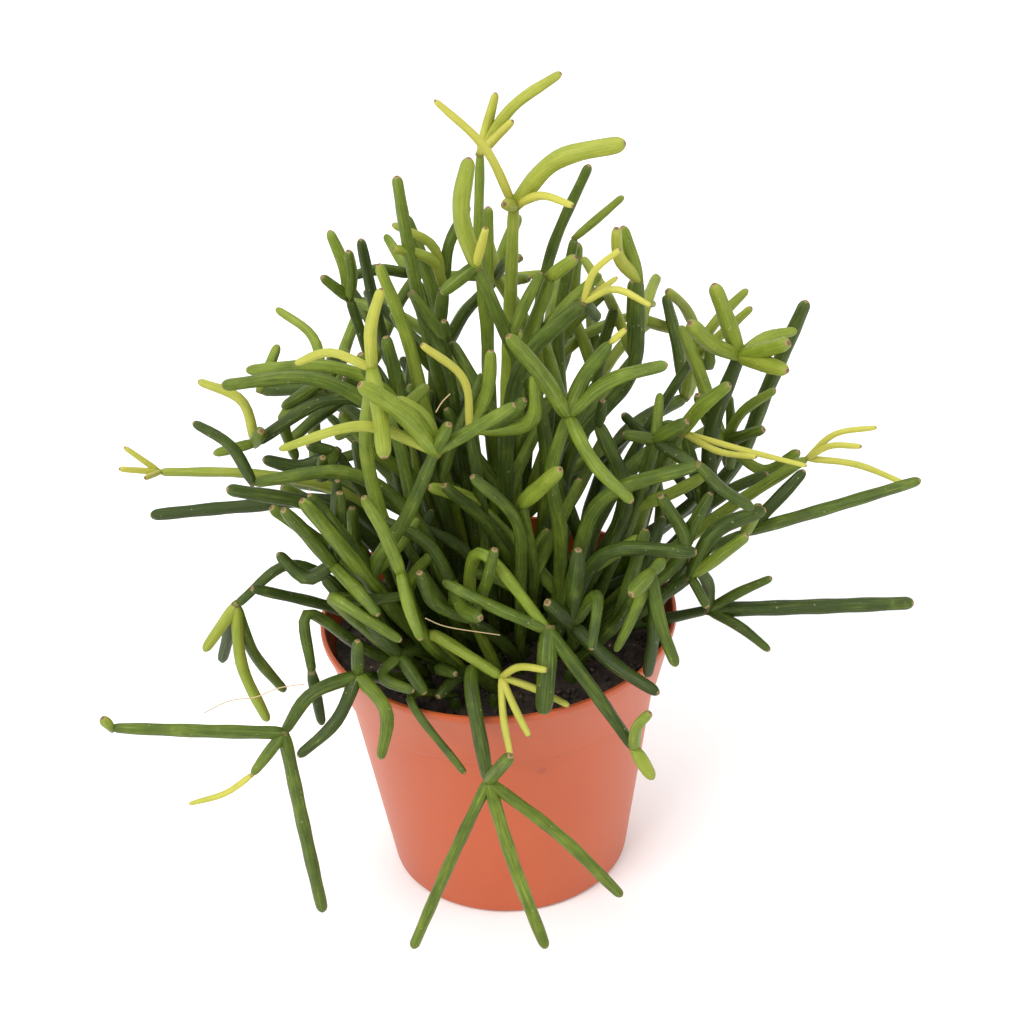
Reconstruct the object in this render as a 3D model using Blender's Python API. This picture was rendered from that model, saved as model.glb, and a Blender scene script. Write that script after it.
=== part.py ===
"""A potted mistletoe cactus: a moulded plastic nursery pot, its soil, and the jointed cylindrical
stems that grow from it. Metres, +Z up, origin at the centre of the pot's foot, front towards -Y.

The front sprays follow the reference picture. A knot is written where the picture shows it, as
(across, down) in pixels of its 1024 x 1024 frame, and each stem says how far forward of the pot's
axis its far end lies, in millimetres. The sight function turns the two into a point in space.
"""

import math
import random

import bmesh
import bpy
import numpy as np
from mathutils import Matrix, Vector

MM = 0.001

# The pot, in millimetres
RIM_RADIUS = 52.5
POT_HEIGHT = 85.6
FOOT_RADIUS = 36.0
COLLAR_DROP = 20.0
COLLAR_STEP = 1.1
COLLAR_RADIUS = 47.2
WALL = 1.2
LIP_WIDTH = 1.4
LIP_DEPTH = 2.2
FLOOR_THICKNESS = 1.8
GROOVE_DEPTH = 2.0
GROOVE_INNER = 12.0
GROOVE_OUTER = 31.0
DRAIN_COUNT = 8
DRAIN_RADIUS = 3.6
DRAIN_CIRCLE = 21.5
POT_SIDES = 32

# The soil, in millimetres
SOIL_TOP = 76.6
SOIL_ROUGHNESS = 1.3
SOIL_SIDES = 24
SOIL_RINGS = (0.4, 0.8)
ROOT_DEPTH = 6.0
HOLE_DEPTH = 8.0
HOLE_CLEARANCE = 0.8
HOLE_SIDES = 6
FIT = 0.35

# Where the picture was taken from: a pinhole, in pixels, millimetres and degrees
FRAME_CENTRE = 512.0
FOCAL = 2500.0
EYE_DISTANCE = 718.0
EYE_ELEVATION = 32.4
EYE_ROLL = -3.0
TARGET_ACROSS = 5.6
TARGET_HEIGHT = 119.7

# The stems, in millimetres
KNOT_SPACING = 26.0
STEM_SIDES = 5
THIN_SIDES = 4
THIN_RADIUS = 1.85
BASAL_RADIUS = 2.1
BASAL_HEIGHT = 5.0
STEM_GAP = 0.7
ROOT_SPACING = 8.4
ROOT_REACH = 41.0
RELAX_ROUNDS = 200
FLOOR_CLEARANCE = 4.0
MOST_CLUMPS = 54
SLIVERS = (0.4, 0.34, 0.28, 0.22, 0.16, 0.1, 0.05, 0.02)

# The rule that fills the middle and the far side
FILL_SEED = 41
FILL_SPRAYS = 16
FILL_REACH = 88.0
TWIGS_AT_JOINT = 3
TWIG_SHARE = 0.34
TWIG_LENGTH = (18.0, 36.0)
# Where the front sprays hide what stands behind them, as pixels of the picture
SCREEN = [(262, 480), (300, 345), (345, 262), (400, 222), (480, 196), (600, 215), (690, 305), (752, 400),
          (770, 470), (700, 590), (330, 600)]


class Stem:
    """One jointed segment: its knots, how far forward it ends, its radius, its age and what grows on it.

    Age runs from 0, old and dark, to 1, a fresh yellow shoot."""

    def __init__(self, knots, forward, radius, buds=(), age=0.0):
        self.knots = knots
        self.forward = forward
        self.radius = radius
        self.buds = buds
        self.age = age


def shoot(knots, forward, radius=0.9):
    """A fresh yellow shoot, thin and pointed."""
    return Stem(knots, forward, radius, (), 1.0)


# Each spray stands in its own hole in the soil. Its first stem starts at the root.
SPRAYS = {
    "front_fan": Stem([(471, 652), (470, 682), (476, 735), (487, 781)], 66, 1.9, [
        Stem([(450, 860), (412, 948)], 79, 1.5, (), 0.3),
        Stem([(512, 862), (545, 948)], 81, 1.8, (), 0.25),
        Stem([(548, 826), (592, 868), (621, 896)], 77, 1.6, (), 0.3),
        Stem([(495, 765), (510, 755)], 73, 1.7, (), 0.35),
    ], 0.1),
    "front_arch": Stem([(433, 641), (450, 633), (472, 641), (503, 678)], 47, 1.6, [
        shoot([(515, 668), (550, 671)], 58, 1.0),
        shoot([(503, 705), (512, 757)], 62, 1.0),
        shoot([(515, 706), (531, 738)], 60, 1.1),
        shoot([(535, 689), (571, 707)], 55, 1.0),
    ], 0.35),
    "front_paddle": Stem([(452, 560), (490, 565), (508, 572), (530, 603), (545, 632)], 48, 1.8, [
        Stem([(543, 672), (540, 717)], 60, 2.5, (), 0.2),
        Stem([(562, 652), (592, 694), (632, 750)], 62, 1.9, [
            Stem([(637, 718), (648, 714)], 68, 1.6, (), 0.45),
            Stem([(645, 768), (651, 781)], 66, 1.9, (), 0.5),
        ], 0.2),
        Stem([(443, 581)], 34, 1.6, (), 0.1),
    ], 0.25),
    "front_right": Stem([(574, 640), (568, 624)], 38, 1.9, [
        Stem([(553, 613), (541, 603)], 47, 2.4),
        Stem([(612, 662), (657, 691)], 58, 2.0),
        Stem([(572, 585), (575, 548)], 46, 2.2),
        Stem([(595, 594), (590, 618), (588, 649)], 55, 1.7),
    ]),
    "right_hem": Stem([(640, 600), (650, 575)], 46, 1.7, [
        Stem([(640, 578), (629, 597)], 54, 2.2, (), 0.25),
        Stem([(660, 628), (675, 668)], 56, 1.8, (), 0.15),
        Stem([(663, 561)], 42, 1.8, (), 0.2),
        Stem([(627, 628), (613, 655)], 47, 1.6, (), 0.15),
        Stem([(653, 612), (652, 645), (646, 678)], 40, 1.8),
    ], 0.1),
    "right_low": Stem([(650, 622), (690, 614), (708, 610)], 14, 1.6, [
        Stem([(740, 592), (772, 578)], 20, 1.6, (), 0.1),
        Stem([(760, 602), (838, 609), (914, 603)], 24, 2.0, (), 0.1),
        Stem([(740, 627), (770, 651)], 26, 1.6, (), 0.15),
        Stem([(708, 583), (688, 560)], 24, 1.7),
    ]),
    "right_long": Stem([(640, 588), (700, 547), (745, 532)], 12, 1.8, [
        Stem([(832, 507), (921, 480)], 18, 1.7, (), 0.1),
        Stem([(770, 507), (805, 470)], 6, 2.0),
        Stem([(760, 505)], 20, 1.9, (), 0.35),
    ]),
    "right_candle": Stem([(690, 535), (730, 508), (775, 482), (807, 459)], 2, 1.9, [
        shoot([(840, 432), (877, 428)], 8, 0.9),
        shoot([(832, 446), (862, 447)], 14, 0.9),
        shoot([(850, 463), (905, 484)], 10, 0.9),
    ], 0.4),
    "right_cross": Stem([(690, 535), (703, 460), (716, 395), (737, 355)], -8, 2.1, [
        Stem([(725, 318), (712, 283)], -8, 2.2, (), 0.3),
        Stem([(712, 345), (688, 322)], 4, 2.2, (), 0.35),
        Stem([(762, 338), (795, 330)], -14, 1.8, (), 0.45),
        Stem([(760, 350), (787, 342)], 6, 2.3, (), 0.45),
        Stem([(760, 362), (786, 370)], 8, 2.2, (), 0.45),
    ]),
    "right_spire": Stem([(700, 522), (748, 430), (786, 350), (805, 305)], -30, 2.0, (), 0.1),
    "right_tuft": Stem([(640, 500), (655, 462), (681, 432)], 8, 2.0, [
        Stem([(700, 408), (730, 384)], 14, 2.2, (), 0.3),
        Stem([(662, 424)], 2, 2.2, (), 0.15),
        shoot([(740, 449), (807, 466)], 18, 0.9),
        shoot([(720, 452), (757, 457)], 24, 0.9),
    ]),
    "right_elbow": Stem([(592, 525), (612, 492), (655, 480), (697, 468)], 30, 2.2, [
        Stem([(720, 492), (751, 512)], 26, 1.6),
    ], 0.1),
    "right_pillar": Stem([(622, 520), (617, 485), (608, 450), (599, 424)], 20, 2.2, [
        Stem([(603, 400)], 26, 1.5),
    ], 0.1),
    "right_stub": Stem([(690, 542), (672, 515), (661, 494)], 32, 1.9),
    "right_shelf": Stem([(600, 560), (655, 553), (698, 553)], 40, 1.9, (), 0.1),
    "right_grass": Stem([(640, 440), (690, 360)], -34, 1.6, [
        Stem([(716, 320), (746, 290)], -38, 1.5, (), 0.45),
        Stem([(735, 322), (750, 308)], -28, 1.4, (), 0.5),
        Stem([(705, 372), (706, 345)], -24, 1.6, (), 0.3),
    ]),
    "right_fork": Stem([(690, 500), (716, 430)], -20, 1.7, [
        Stem([(735, 400), (768, 378)], -16, 1.4, (), 0.35),
        Stem([(757, 418)], -8, 1.7, (), 0.2),
        Stem([(760, 460), (792, 440)], -10, 1.6, (), 0.2),
        Stem([(694, 398), (690, 382)], -10, 1.6, (), 0.25),
    ]),
    "crown_main": Stem([(505, 470), (508, 330), (512, 255), (513, 206)], -6, 2.1, [
        Stem([(492, 160), (465, 124), (434, 100)], 2, 1.2, (), 0.9),
        Stem([(540, 170), (580, 151), (625, 143)], 2, 2.3, (), 0.5),
        shoot([(545, 195), (573, 206)], 10, 1.2),
        Stem([(504, 204)], 2, 1.9, (), 0.55),
    ], 0.3),
    "crown_back": Stem([(486, 420), (474, 260), (476, 155)], -18, 1.6, [
        Stem([(477, 118), (492, 94)], -20, 1.4, (), 0.6),
        Stem([(513, 104), (558, 74)], -16, 1.6, (), 0.55),
        shoot([(509, 122)], -10, 1.2),
    ], 0.2),
    "crown_ribbed": Stem([(548, 450), (520, 365), (492, 298), (477, 266)], 8, 1.9, [
        Stem([(462, 215), (470, 158)], 6, 2.2, (), 0.35),
        Stem([(460, 276), (442, 294)], 12, 1.9, (), 0.15),
        shoot([(487, 228)], 16, 1.3),
    ], 0.1),
    "crown_left": Stem([(430, 420), (434, 330), (440, 288)], -22, 2.1, [
        Stem([(432, 250), (412, 231), (389, 224)], -24, 1.4, (), 0.5),
        Stem([(440, 268), (412, 253), (390, 248)], -12, 1.5, (), 0.4),
        Stem([(447, 240), (466, 205)], -28, 1.7, (), 0.1),
    ]),
    "crown_spear": Stem([(440, 440), (405, 320), (393, 235), (382, 183)], -16, 1.7, (), 0.1),
    "crown_shield": Stem([(452, 420), (430, 290), (403, 215)], -40, 1.9, (), 0.1),
    "crown_twig": Stem([(450, 400), (437, 340), (410, 296)], -8, 1.6, [
        Stem([(452, 350), (442, 322)], -2, 1.6),
    ], 0.15),
    "crown_tall_a": Stem([(530, 400), (545, 280), (566, 215), (590, 165)], -26, 1.7, (), 0.1),
    "crown_tall_b": Stem([(560, 420), (558, 300), (574, 238)], -38, 2.0, [
        Stem([(600, 216), (623, 196)], -40, 1.2, (), 0.4),
    ]),
    "crown_bent": Stem([(520, 430), (528, 330), (552, 275)], 2, 2.0, [
        Stem([(577, 256)], 6, 2.2, (), 0.3),
    ], 0.15),
    "crown_slim": Stem([(490, 420), (487, 300), (488, 207)], -34, 1.9, (), 0.3),
    "crown_hook": Stem([(572, 450), (625, 400), (632, 320), (638, 280)], -6, 2.0, [
        Stem([(637, 245), (622, 226)], -8, 1.9, (), 0.25),
        Stem([(620, 262), (616, 228)], 2, 1.6, (), 0.65),
    ]),
    "crown_club": Stem([(510, 400), (550, 335), (583, 302)], 16, 2.2, [
        shoot([(597, 265), (620, 249)], 20, 1.0),
        shoot([(618, 289), (651, 306)], 26, 0.9),
        shoot([(617, 277)], 12, 0.9),
        Stem([(597, 318)], 4, 1.6),
    ]),
    "heart_cross": Stem([(560, 560), (548, 450), (567, 416)], 34, 2.0, [
        Stem([(533, 365), (507, 336)], 44, 2.0, (), 0.2),
        Stem([(615, 378), (667, 365)], 40, 1.8, (), 0.15),
        Stem([(585, 455), (612, 480), (632, 503)], 56, 1.7, (), 0.2),
        Stem([(585, 375), (610, 343)], 34, 2.1, [
            shoot([(626, 329)], 36, 0.9),
        ], 0.1),
    ], 0.1),
    "heart_diagonal": Stem([(522, 585), (505, 545), (478, 515), (443, 484)], 30, 1.7, (), 0.1),
    "heart_hook": Stem([(522, 588), (519, 520), (513, 482), (498, 469), (474, 474)], 40, 1.7, [
    ], 0.1),
    "heart_bright": Stem([(535, 560), (521, 505)], 30, 1.7, [
        Stem([(560, 470)], 46, 2.1, (), 0.35),
    ], 0.1),
    "heart_node": Stem([(400, 640), (372, 583), (402, 528), (437, 448)], 44, 1.9, [
        Stem([(400, 408), (359, 382)], 52, 2.5, (), 0.3),
        Stem([(430, 421), (396, 396)], 42, 2.0, (), 0.3),
        Stem([(480, 424), (517, 402)], 54, 1.7, (), 0.1),
        Stem([(451, 421)], 50, 1.7, (), 0.15),
        Stem([(395, 425), (340, 425), (281, 446)], 54, 1.5, (), 0.7),
    ], 0.2),
    "heart_pair": Stem([(505, 520), (513, 425)], 2, 2.2, [
    ], 0.1),
    "heart_warty": Stem([(470, 640), (458, 575)], 30, 1.6, [
        Stem([(470, 596), (489, 603)], 46, 2.0, (), 0.15),
        Stem([(450, 555), (418, 522), (387, 510)], 26, 1.6),
    ]),
    "left_bright": Stem([(417, 625), (401, 571)], 44, 1.9, [
        Stem([(390, 542), (364, 496)], 50, 1.9, (), 0.3),
        Stem([(408, 602), (422, 640)], 58, 1.6, (), 0.25),
    ], 0.1),
    "left_blade_a": Stem([(388, 612), (342, 558), (297, 505)], 44, 2.0, (), 0.2),
    "left_blade_b": Stem([(375, 600), (335, 572), (262, 521)], 34, 1.8, (), 0.2),
    "left_ribbon": Stem([(372, 470), (374, 368)], 34, 1.9, [
        Stem([(373, 322), (383, 288)], 34, 1.6, (), 0.6),
        Stem([(347, 357), (320, 350), (297, 363)], 28, 1.2, (), 0.75),
        Stem([(383, 420), (386, 458)], 56, 2.0, (), 0.4),
    ], 0.3),
    "left_rail_a": Stem([(400, 400), (350, 369), (300, 367), (247, 369)], -2, 2.0, (), 0.2),
    "left_rail_b": Stem([(400, 440), (350, 384), (290, 381), (225, 385)], 14, 2.0, (), 0.25),
    "left_rail_c": Stem([(400, 420), (330, 393), (265, 391)], -16, 1.8, [
        Stem([(283, 345)], -22, 1.6, (), 0.3),
    ]),
    "left_rail_d": Stem([(420, 460), (372, 392), (320, 408), (283, 427), (254, 446)], 6, 1.9, [
        Stem([(212, 457)], 10, 1.6, (), 0.25),
        Stem([(260, 434)], 12, 2.1, (), 0.2),
        Stem([(240, 403), (197, 384)], 2, 1.3, (), 0.75),
    ]),
    "left_rail_e": Stem([(400, 500), (330, 469), (250, 479)], 26, 2.0, [
        Stem([(220, 433), (190, 419)], 22, 1.5),
    ], 0.1),
    "left_candle": Stem([(380, 520), (300, 476), (230, 475), (160, 472)], -4, 1.6, [
        shoot([(124, 447)], -4, 0.9),
        shoot([(119, 469)], 2, 0.9),
        shoot([(145, 478)], 6, 0.9),
    ], 0.4),
    "left_bar": Stem([(390, 545), (330, 500), (268, 505), (150, 516)], 4, 1.8, [
    ]),
    "left_thumb": Stem([(390, 560), (320, 508), (226, 490)], 16, 2.0, (), 0.1),
    "left_steep_a": Stem([(400, 440), (362, 350), (347, 300)], -26, 1.8, [
        Stem([(340, 262), (327, 232)], -30, 1.7, (), 0.15),
        Stem([(350, 275), (346, 252)], -20, 1.6, (), 0.25),
        Stem([(319, 278)], -24, 1.6, (), 0.2),
    ]),
    "left_steep_b": Stem([(415, 430), (376, 310), (362, 239)], -42, 1.8),
    "left_steep_c": Stem([(420, 440), (392, 330), (366, 266)], -8, 2.0, [
    ], 0.3),
    "left_curl": Stem([(345, 590), (300, 567), (262, 560), (236, 605)], 24, 1.7, [
        Stem([(216, 624), (204, 651)], 28, 1.6, (), 0.6),
        Stem([(242, 665), (268, 721)], 32, 1.6, (), 0.55),
        Stem([(258, 662), (285, 691)], 22, 1.6, (), 0.2),
        Stem([(222, 661)], 14, 1.7),
    ]),
    "left_twins": Stem([(345, 612), (295, 594), (251, 588)], 30, 1.6, (), 0.05),
    "left_drop": Stem([(370, 680), (360, 675)], 50, 1.7, [
        Stem([(325, 688), (296, 707), (285, 733)], 58, 1.8, [
            Stem([(200, 731), (112, 728)], 58, 1.8, [
                Stem([(103, 718)], 60, 1.7, (), 0.5),
            ], 0.25),
            Stem([(270, 750), (253, 775)], 64, 1.6, [
                shoot([(245, 787), (190, 804)], 66, 0.9),
            ], 0.2),
            Stem([(292, 775), (308, 840), (324, 912)], 66, 1.8, (), 0.2),
        ], 0.1),
        Stem([(338, 722), (300, 757)], 62, 1.9, (), 0.05),
        Stem([(388, 708), (383, 760)], 64, 1.9, (), 0.25),
        Stem([(360, 640)], 52, 1.7, (), 0.05),
    ]),
    "left_loop": Stem([(335, 635), (302, 612), (288, 638), (312, 673)], 44, 1.6, [
        Stem([(317, 700), (322, 725)], 46, 1.6),
    ], 0.1),
    "left_finger": Stem([(335, 595), (365, 617), (402, 637)], 50, 1.9, [
    ], 0.15),
    "front_tangle": Stem([(405, 640), (398, 655)], 40, 1.7, [
        Stem([(384, 652), (366, 622)], 44, 1.7, (), 0.1),
        Stem([(412, 668), (424, 694)], 48, 1.7, (), 0.1),
        Stem([(375, 672), (412, 691)], 52, 1.6, (), 0.15),
    ]),
    "front_snail": Stem([(440, 668), (452, 662), (461, 675)], 46, 1.8, (), 0.1),
    "front_grey": Stem([(452, 678), (442, 700), (431, 706)], 46, 1.9),
    "left_rungs": Stem([(345, 572), (338, 560)], 34, 1.9, [
        Stem([(324, 543), (288, 505)], 46, 2.1, (), 0.2),
        Stem([(362, 582), (386, 610)], 50, 1.9, (), 0.2),
        Stem([(343, 520), (343, 487)], 34, 1.8),
        Stem([(318, 577), (282, 549)], 32, 1.9, (), 0.05),
    ]),
    "left_ladder": Stem([(352, 470), (336, 455)], 10, 1.7, [
        Stem([(320, 438), (306, 448)], 12, 1.6, (), 0.1),
        Stem([(322, 482), (323, 464)], 26, 1.8, (), 0.1),
        Stem([(296, 470), (262, 462)], 12, 1.8),
    ]),
    "left_feather": Stem([(390, 420), (350, 392), (331, 403)], 4, 1.7, [
        Stem([(318, 340), (283, 318)], -14, 1.4, (), 0.35),
        Stem([(300, 412), (290, 440), (303, 470)], 4, 1.7, (), 0.15),
    ]),
    "right_rungs": Stem([(668, 592), (690, 575)], 28, 1.8, [
        Stem([(718, 556), (747, 534)], 32, 1.7, (), 0.2),
        Stem([(715, 530), (765, 508)], 24, 2.1, (), 0.1),
        Stem([(700, 566), (707, 607)], 36, 1.5, (), 0.1),
    ]),
    "right_cloud": Stem([(650, 470), (655, 440)], 16, 1.8, [
        Stem([(640, 430), (622, 434)], 16, 1.8, (), 0.1),
        Stem([(672, 425), (688, 421)], 20, 2.0, (), 0.15),
        Stem([(664, 455), (700, 470)], 26, 1.8),
        Stem([(645, 408), (660, 393)], 6, 1.5, (), 0.25),
    ]),
    "heart_shoots": Stem([(478, 470), (470, 430)], 24, 1.7, [
        shoot([(460, 370), (421, 345)], 34, 1.1),
        Stem([(490, 385), (491, 351)], 24, 1.8, (), 0.25),
        Stem([(528, 425), (536, 376)], 34, 2.0, (), 0.35),
        Stem([(505, 420), (526, 400)], 32, 1.7, (), 0.1),
    ]),
    "heart_low": Stem([(500, 640), (470, 615)], 36, 1.7, [
        Stem([(440, 600), (420, 565)], 46, 1.8, (), 0.1),
        Stem([(488, 580), (500, 540)], 44, 1.7, (), 0.05),
    ]),
    "front_thread": Stem([(412, 690), (407, 722), (430, 762), (463, 789)], 66, 1.2, (), 0.1),
}


def sight_axes():
    """The eye and the picture's forward, right and up directions, in millimetres."""
    tilt, roll = math.radians(EYE_ELEVATION), math.radians(EYE_ROLL)
    ahead = Vector((0.0, math.cos(tilt), -math.sin(tilt)))
    level, rise = Vector((1.0, 0.0, 0.0)), Vector((0.0, math.sin(tilt), math.cos(tilt)))
    right = level * math.cos(roll) + rise * math.sin(roll)
    up = rise * math.cos(roll) - level * math.sin(roll)
    eye = Vector((TARGET_ACROSS, 0.0, TARGET_HEIGHT)) - ahead * EYE_DISTANCE
    return eye, ahead, right, up


EYE, AHEAD, RIGHT, UP = sight_axes()


def sight(across, down, forward):
    """The point seen at a pixel, at a given distance in front of the pot's axis."""
    ray = AHEAD + RIGHT * (across - FRAME_CENTRE) / FOCAL + UP * (FRAME_CENTRE - down) / FOCAL
    return EYE + ray * ((-forward - EYE.y) / ray.y)


def pixel(point):
    """Where a point shows in the picture."""
    away = Vector(point) - EYE
    reach = FOCAL / away.dot(AHEAD)
    return FRAME_CENTRE + away.dot(RIGHT) * reach, FRAME_CENTRE - away.dot(UP) * reach


def screened(point):
    """Whether the front sprays hide a point from the picture's eye."""
    across, down = pixel(point)
    inside = False
    for (x0, y0), (x1, y1) in zip(SCREEN, SCREEN[1:] + SCREEN[:1]):
        if (y0 > down) != (y1 > down) and across < x0 + (x1 - x0) * (down - y0) / (y1 - y0):
            inside = not inside
    return inside


def smooth_path(corners, spacing):
    """Points at even steps along a smooth curve through the corners, without the first corner."""
    corners = [Vector(c) for c in corners]
    ends = [corners[0] * 2 - corners[1]] + corners + [corners[-1] * 2 - corners[-2]]
    fine = [corners[0]]
    for a, b, c, d in zip(ends, ends[1:], ends[2:], ends[3:]):
        for step in range(1, 9):
            t = step / 8
            fine.append(0.5 * (2 * b + (c - a) * t + (2 * a - 5 * b + 4 * c - d) * t * t
                               + (3 * b - a - 3 * c + d) * t ** 3))
    lengths = np.cumsum([0.0] + [(q - p).length for p, q in zip(fine, fine[1:])])
    count = max(1 if lengths[-1] < 0.7 * spacing else 2, round(lengths[-1] / spacing))
    marks = np.linspace(0.0, lengths[-1], count + 1)[1:]
    table = np.array(fine)
    return np.stack([np.interp(marks, lengths, table[:, axis]) for axis in range(3)], axis=1)


class Limb:
    """One jointed segment placed in space: the row numbers of its points, its radius, age and clump."""

    def __init__(self, rows, radius, age, clump):
        self.rows = rows
        self.radius = radius
        self.age = age
        self.clump = clump


class Plant:
    """All the clumps: one table of points, and the limbs that run through it."""

    def __init__(self):
        self.points = []
        self.limbs = []
        self.fixed = []
        self.twigs = random.Random(FILL_SEED + 1)

    def add(self, first, corners, radius, age, clump):
        """Grow a limb from a point that is already there and give back its far end."""
        rows = [first]
        for point in smooth_path([self.points[first]] + list(corners), KNOT_SPACING):
            rows.append(len(self.points))
            self.points.append(point)
            self.fixed.append(0.0)
        self.limbs.append(Limb(rows, radius, age, clump))
        return rows[-1]

    def root(self, across, forward, clump):
        """Stand a clump's short basal stem in the soil and give back its top."""
        foot = len(self.points)
        self.points.append(np.array((across, -forward, SOIL_TOP - ROOT_DEPTH)))
        self.points.append(np.array((across, -forward, SOIL_TOP + BASAL_HEIGHT)))
        self.fixed += [1.0, 1.0]
        self.limbs.append(Limb([foot, foot + 1], BASAL_RADIUS, 0.0, clump))
        return foot + 1

    def side_twigs(self, clump):
        """Short twigs from the joints along the trunk that was just grown, behind the traced stems."""
        trunk = self.limbs[-1]
        for row, beyond in list(zip(trunk.rows, trunk.rows[1:]))[1:]:
            start = Vector(self.points[row])
            along = (Vector(self.points[beyond]) - start).normalized()
            across = along.orthogonal().normalized()
            turn = self.twigs.uniform(0.0, math.tau)
            for number in range(TWIGS_AT_JOINT):
                swing = turn + number * math.tau / TWIGS_AT_JOINT + self.twigs.uniform(-0.5, 0.5)
                splay = across * math.cos(swing) + along.cross(across) * math.sin(swing)
                heading = (along + splay * self.twigs.uniform(0.6, 1.3)).normalized()
                length = self.twigs.uniform(*TWIG_LENGTH)
                middle = start + heading * length * 0.5
                onward = (heading + Vector((0, 0, self.twigs.uniform(-0.4, 0.3)))).normalized()
                end = middle + onward * length * 0.5
                ahead = max(start.y - 8.0, -40.0)
                clear = screened(end) and end.z > POT_HEIGHT + 6 and ahead < end.y < FILL_REACH
                if self.twigs.random() < TWIG_SHARE and clear:
                    radius, age = self.twigs.uniform(1.5, 1.84), self.twigs.uniform(0.0, 0.3)
                    self.add(row, [middle, end], radius, age, clump)

    def trace(self, first, stem, clump):
        """Grow a traced stem and its buds, the depth running evenly from its joint to its far end."""
        start = self.points[first]
        trail = [pixel(start)] + stem.knots
        run = np.cumsum([0.0] + [math.dist(p, q) for p, q in zip(trail, trail[1:])])
        depths = np.interp(run, (0.0, run[-1]), (-start[1], stem.forward))
        corners = [sight(x, y, depth) for (x, y), depth in zip(stem.knots, depths[1:])]
        tip = self.add(first, corners, stem.radius, stem.age, clump)
        if start[2] < SOIL_TOP + BASAL_HEIGHT + 1:
            self.side_twigs(clump)
        for bud in stem.buds:
            self.trace(tip, bud, clump)


def first_roots():
    """Where each traced spray would leave the soil: well inside the pot, on its own side."""
    roots = {}
    for name, stem in SPRAYS.items():
        depth = 0.55 * stem.forward
        point = sight(*stem.knots[0], depth)
        place = Vector((0.42 * point.x, 0.85 * depth))
        if place.length > ROOT_REACH:
            place *= ROOT_REACH / place.length
        roots[name] = place
    return roots


def fill_roots(rng):
    """Roots for the sprays that the front ones hide, over the middle and the far side."""
    roots = {}
    for number in range(FILL_SPRAYS):
        angle = math.pi * (0.04 + 0.92 * (number + rng.uniform(0.2, 0.8)) / FILL_SPRAYS)
        reach = ROOT_REACH * (0.9 if number % 2 else 0.6)
        roots[f"back_{number:02d}"] = Vector((reach * math.cos(angle), -reach * math.sin(angle)))
    return roots


def share_roots(roots):
    """Join the nearest sprays into clumps until there are few enough, then space the clumps out."""
    clumps = [([name], place.copy()) for name, place in roots.items()]
    while len(clumps) > MOST_CLUMPS:
        best = min(((a, b) for a in range(len(clumps)) for b in range(a + 1, len(clumps))
                    if len(clumps[a][0]) + len(clumps[b][0]) < 4),
                   key=lambda pair: (clumps[pair[0]][1] - clumps[pair[1]][1]).length)
        joined = clumps.pop(best[1])
        names, place = clumps[best[0]]
        clumps[best[0]] = (names + joined[0], (place + joined[1]) / 2)
    for _ in range(400):
        for a in range(len(clumps)):
            for b in range(a + 1, len(clumps)):
                apart = clumps[a][1] - clumps[b][1]
                lack = ROOT_SPACING - apart.length
                if lack > 0:
                    step = apart.normalized() * (0.3 * lack)
                    clumps[a][1].xy += step
                    clumps[b][1].xy -= step
            if clumps[a][1].length > ROOT_REACH:
                clumps[a][1].xy *= ROOT_REACH / clumps[a][1].length
    return clumps


def grow_fill(plant, first, clump, rng):
    """A hidden spray: a stem out and up, a whorl at its tip, and shorter stems at some of theirs."""
    start = Vector(plant.points[first])
    side = math.atan2(start.y, start.x) + rng.uniform(-0.25, 0.25)
    lift = rng.uniform(0.6, 1.2)
    for reach in (rng.uniform(56.0, 74.0), 50.0, 40.0, 30.0):
        out = Vector((math.cos(side) * math.cos(lift), math.sin(side) * math.cos(lift), math.sin(lift)))
        if screened(start + out * reach):
            break
    bend = start + Vector((out.x * 0.3, out.y * 0.3, 0.6)) * reach
    tip = plant.add(first, [bend, start + out * reach], rng.uniform(1.9, 2.4), 0.15, clump)
    turn = rng.uniform(0.0, math.tau)
    for number in range(5):
        grow_twig(plant, tip, out, turn + number * math.tau / 5, clump, rng, 1)


def grow_twig(plant, first, along, turn, clump, rng, order):
    """One stem of a whorl, splayed from its parent's line and drooping as it reaches outward."""
    across = along.orthogonal().normalized()
    splay = (across * math.cos(turn) + along.cross(across) * math.sin(turn)) * rng.uniform(0.5, 1.1)
    heading = (along + splay).normalized()
    start = Vector(plant.points[first])
    length = rng.uniform(24.0, 42.0) / order ** 0.7
    middle = start + heading * length * 0.5
    heading = (heading + Vector((0.0, 0.0, -0.35))).normalized()
    end = middle + heading * length * 0.5
    if not screened(end) or end.z < POT_HEIGHT + 8 or end.y < 4 or end.y > FILL_REACH:
        return
    tip = plant.add(first, [middle, end], rng.uniform(1.7, 2.2) - 0.2 * order, rng.uniform(0.1, 0.5), clump)
    if order == 1 and rng.random() < 0.6:
        for number in range(3):
            grow_twig(plant, tip, heading, turn + 1.6 + number * math.tau / 3, clump, rng, 2)


def grow_plant():
    """The whole plant as it first grows, before its stems are bent clear of each other."""
    rng = random.Random(FILL_SEED)
    roots = first_roots()
    roots.update(fill_roots(rng))
    plant = Plant()
    names = []
    for number, (members, place) in enumerate(share_roots(roots)):
        top = plant.root(place.x, place.y, number)
        names.append(members[0])
        for member in members:
            if member in SPRAYS:
                plant.trace(top, SPRAYS[member], number)
            else:
                grow_fill(plant, top, number, rng)
    plant.points = np.array(plant.points)
    return plant, names


def edge_table(plant):
    """Every limb's edges as rows: both ends, radius and clump."""
    rows = [(a, b, limb.radius, limb.clump)
            for limb in plant.limbs for a, b in zip(limb.rows, limb.rows[1:])]
    ends = np.array([row[:2] for row in rows])
    return ends, np.array([row[2] for row in rows]), np.array([row[3] for row in rows])


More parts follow.
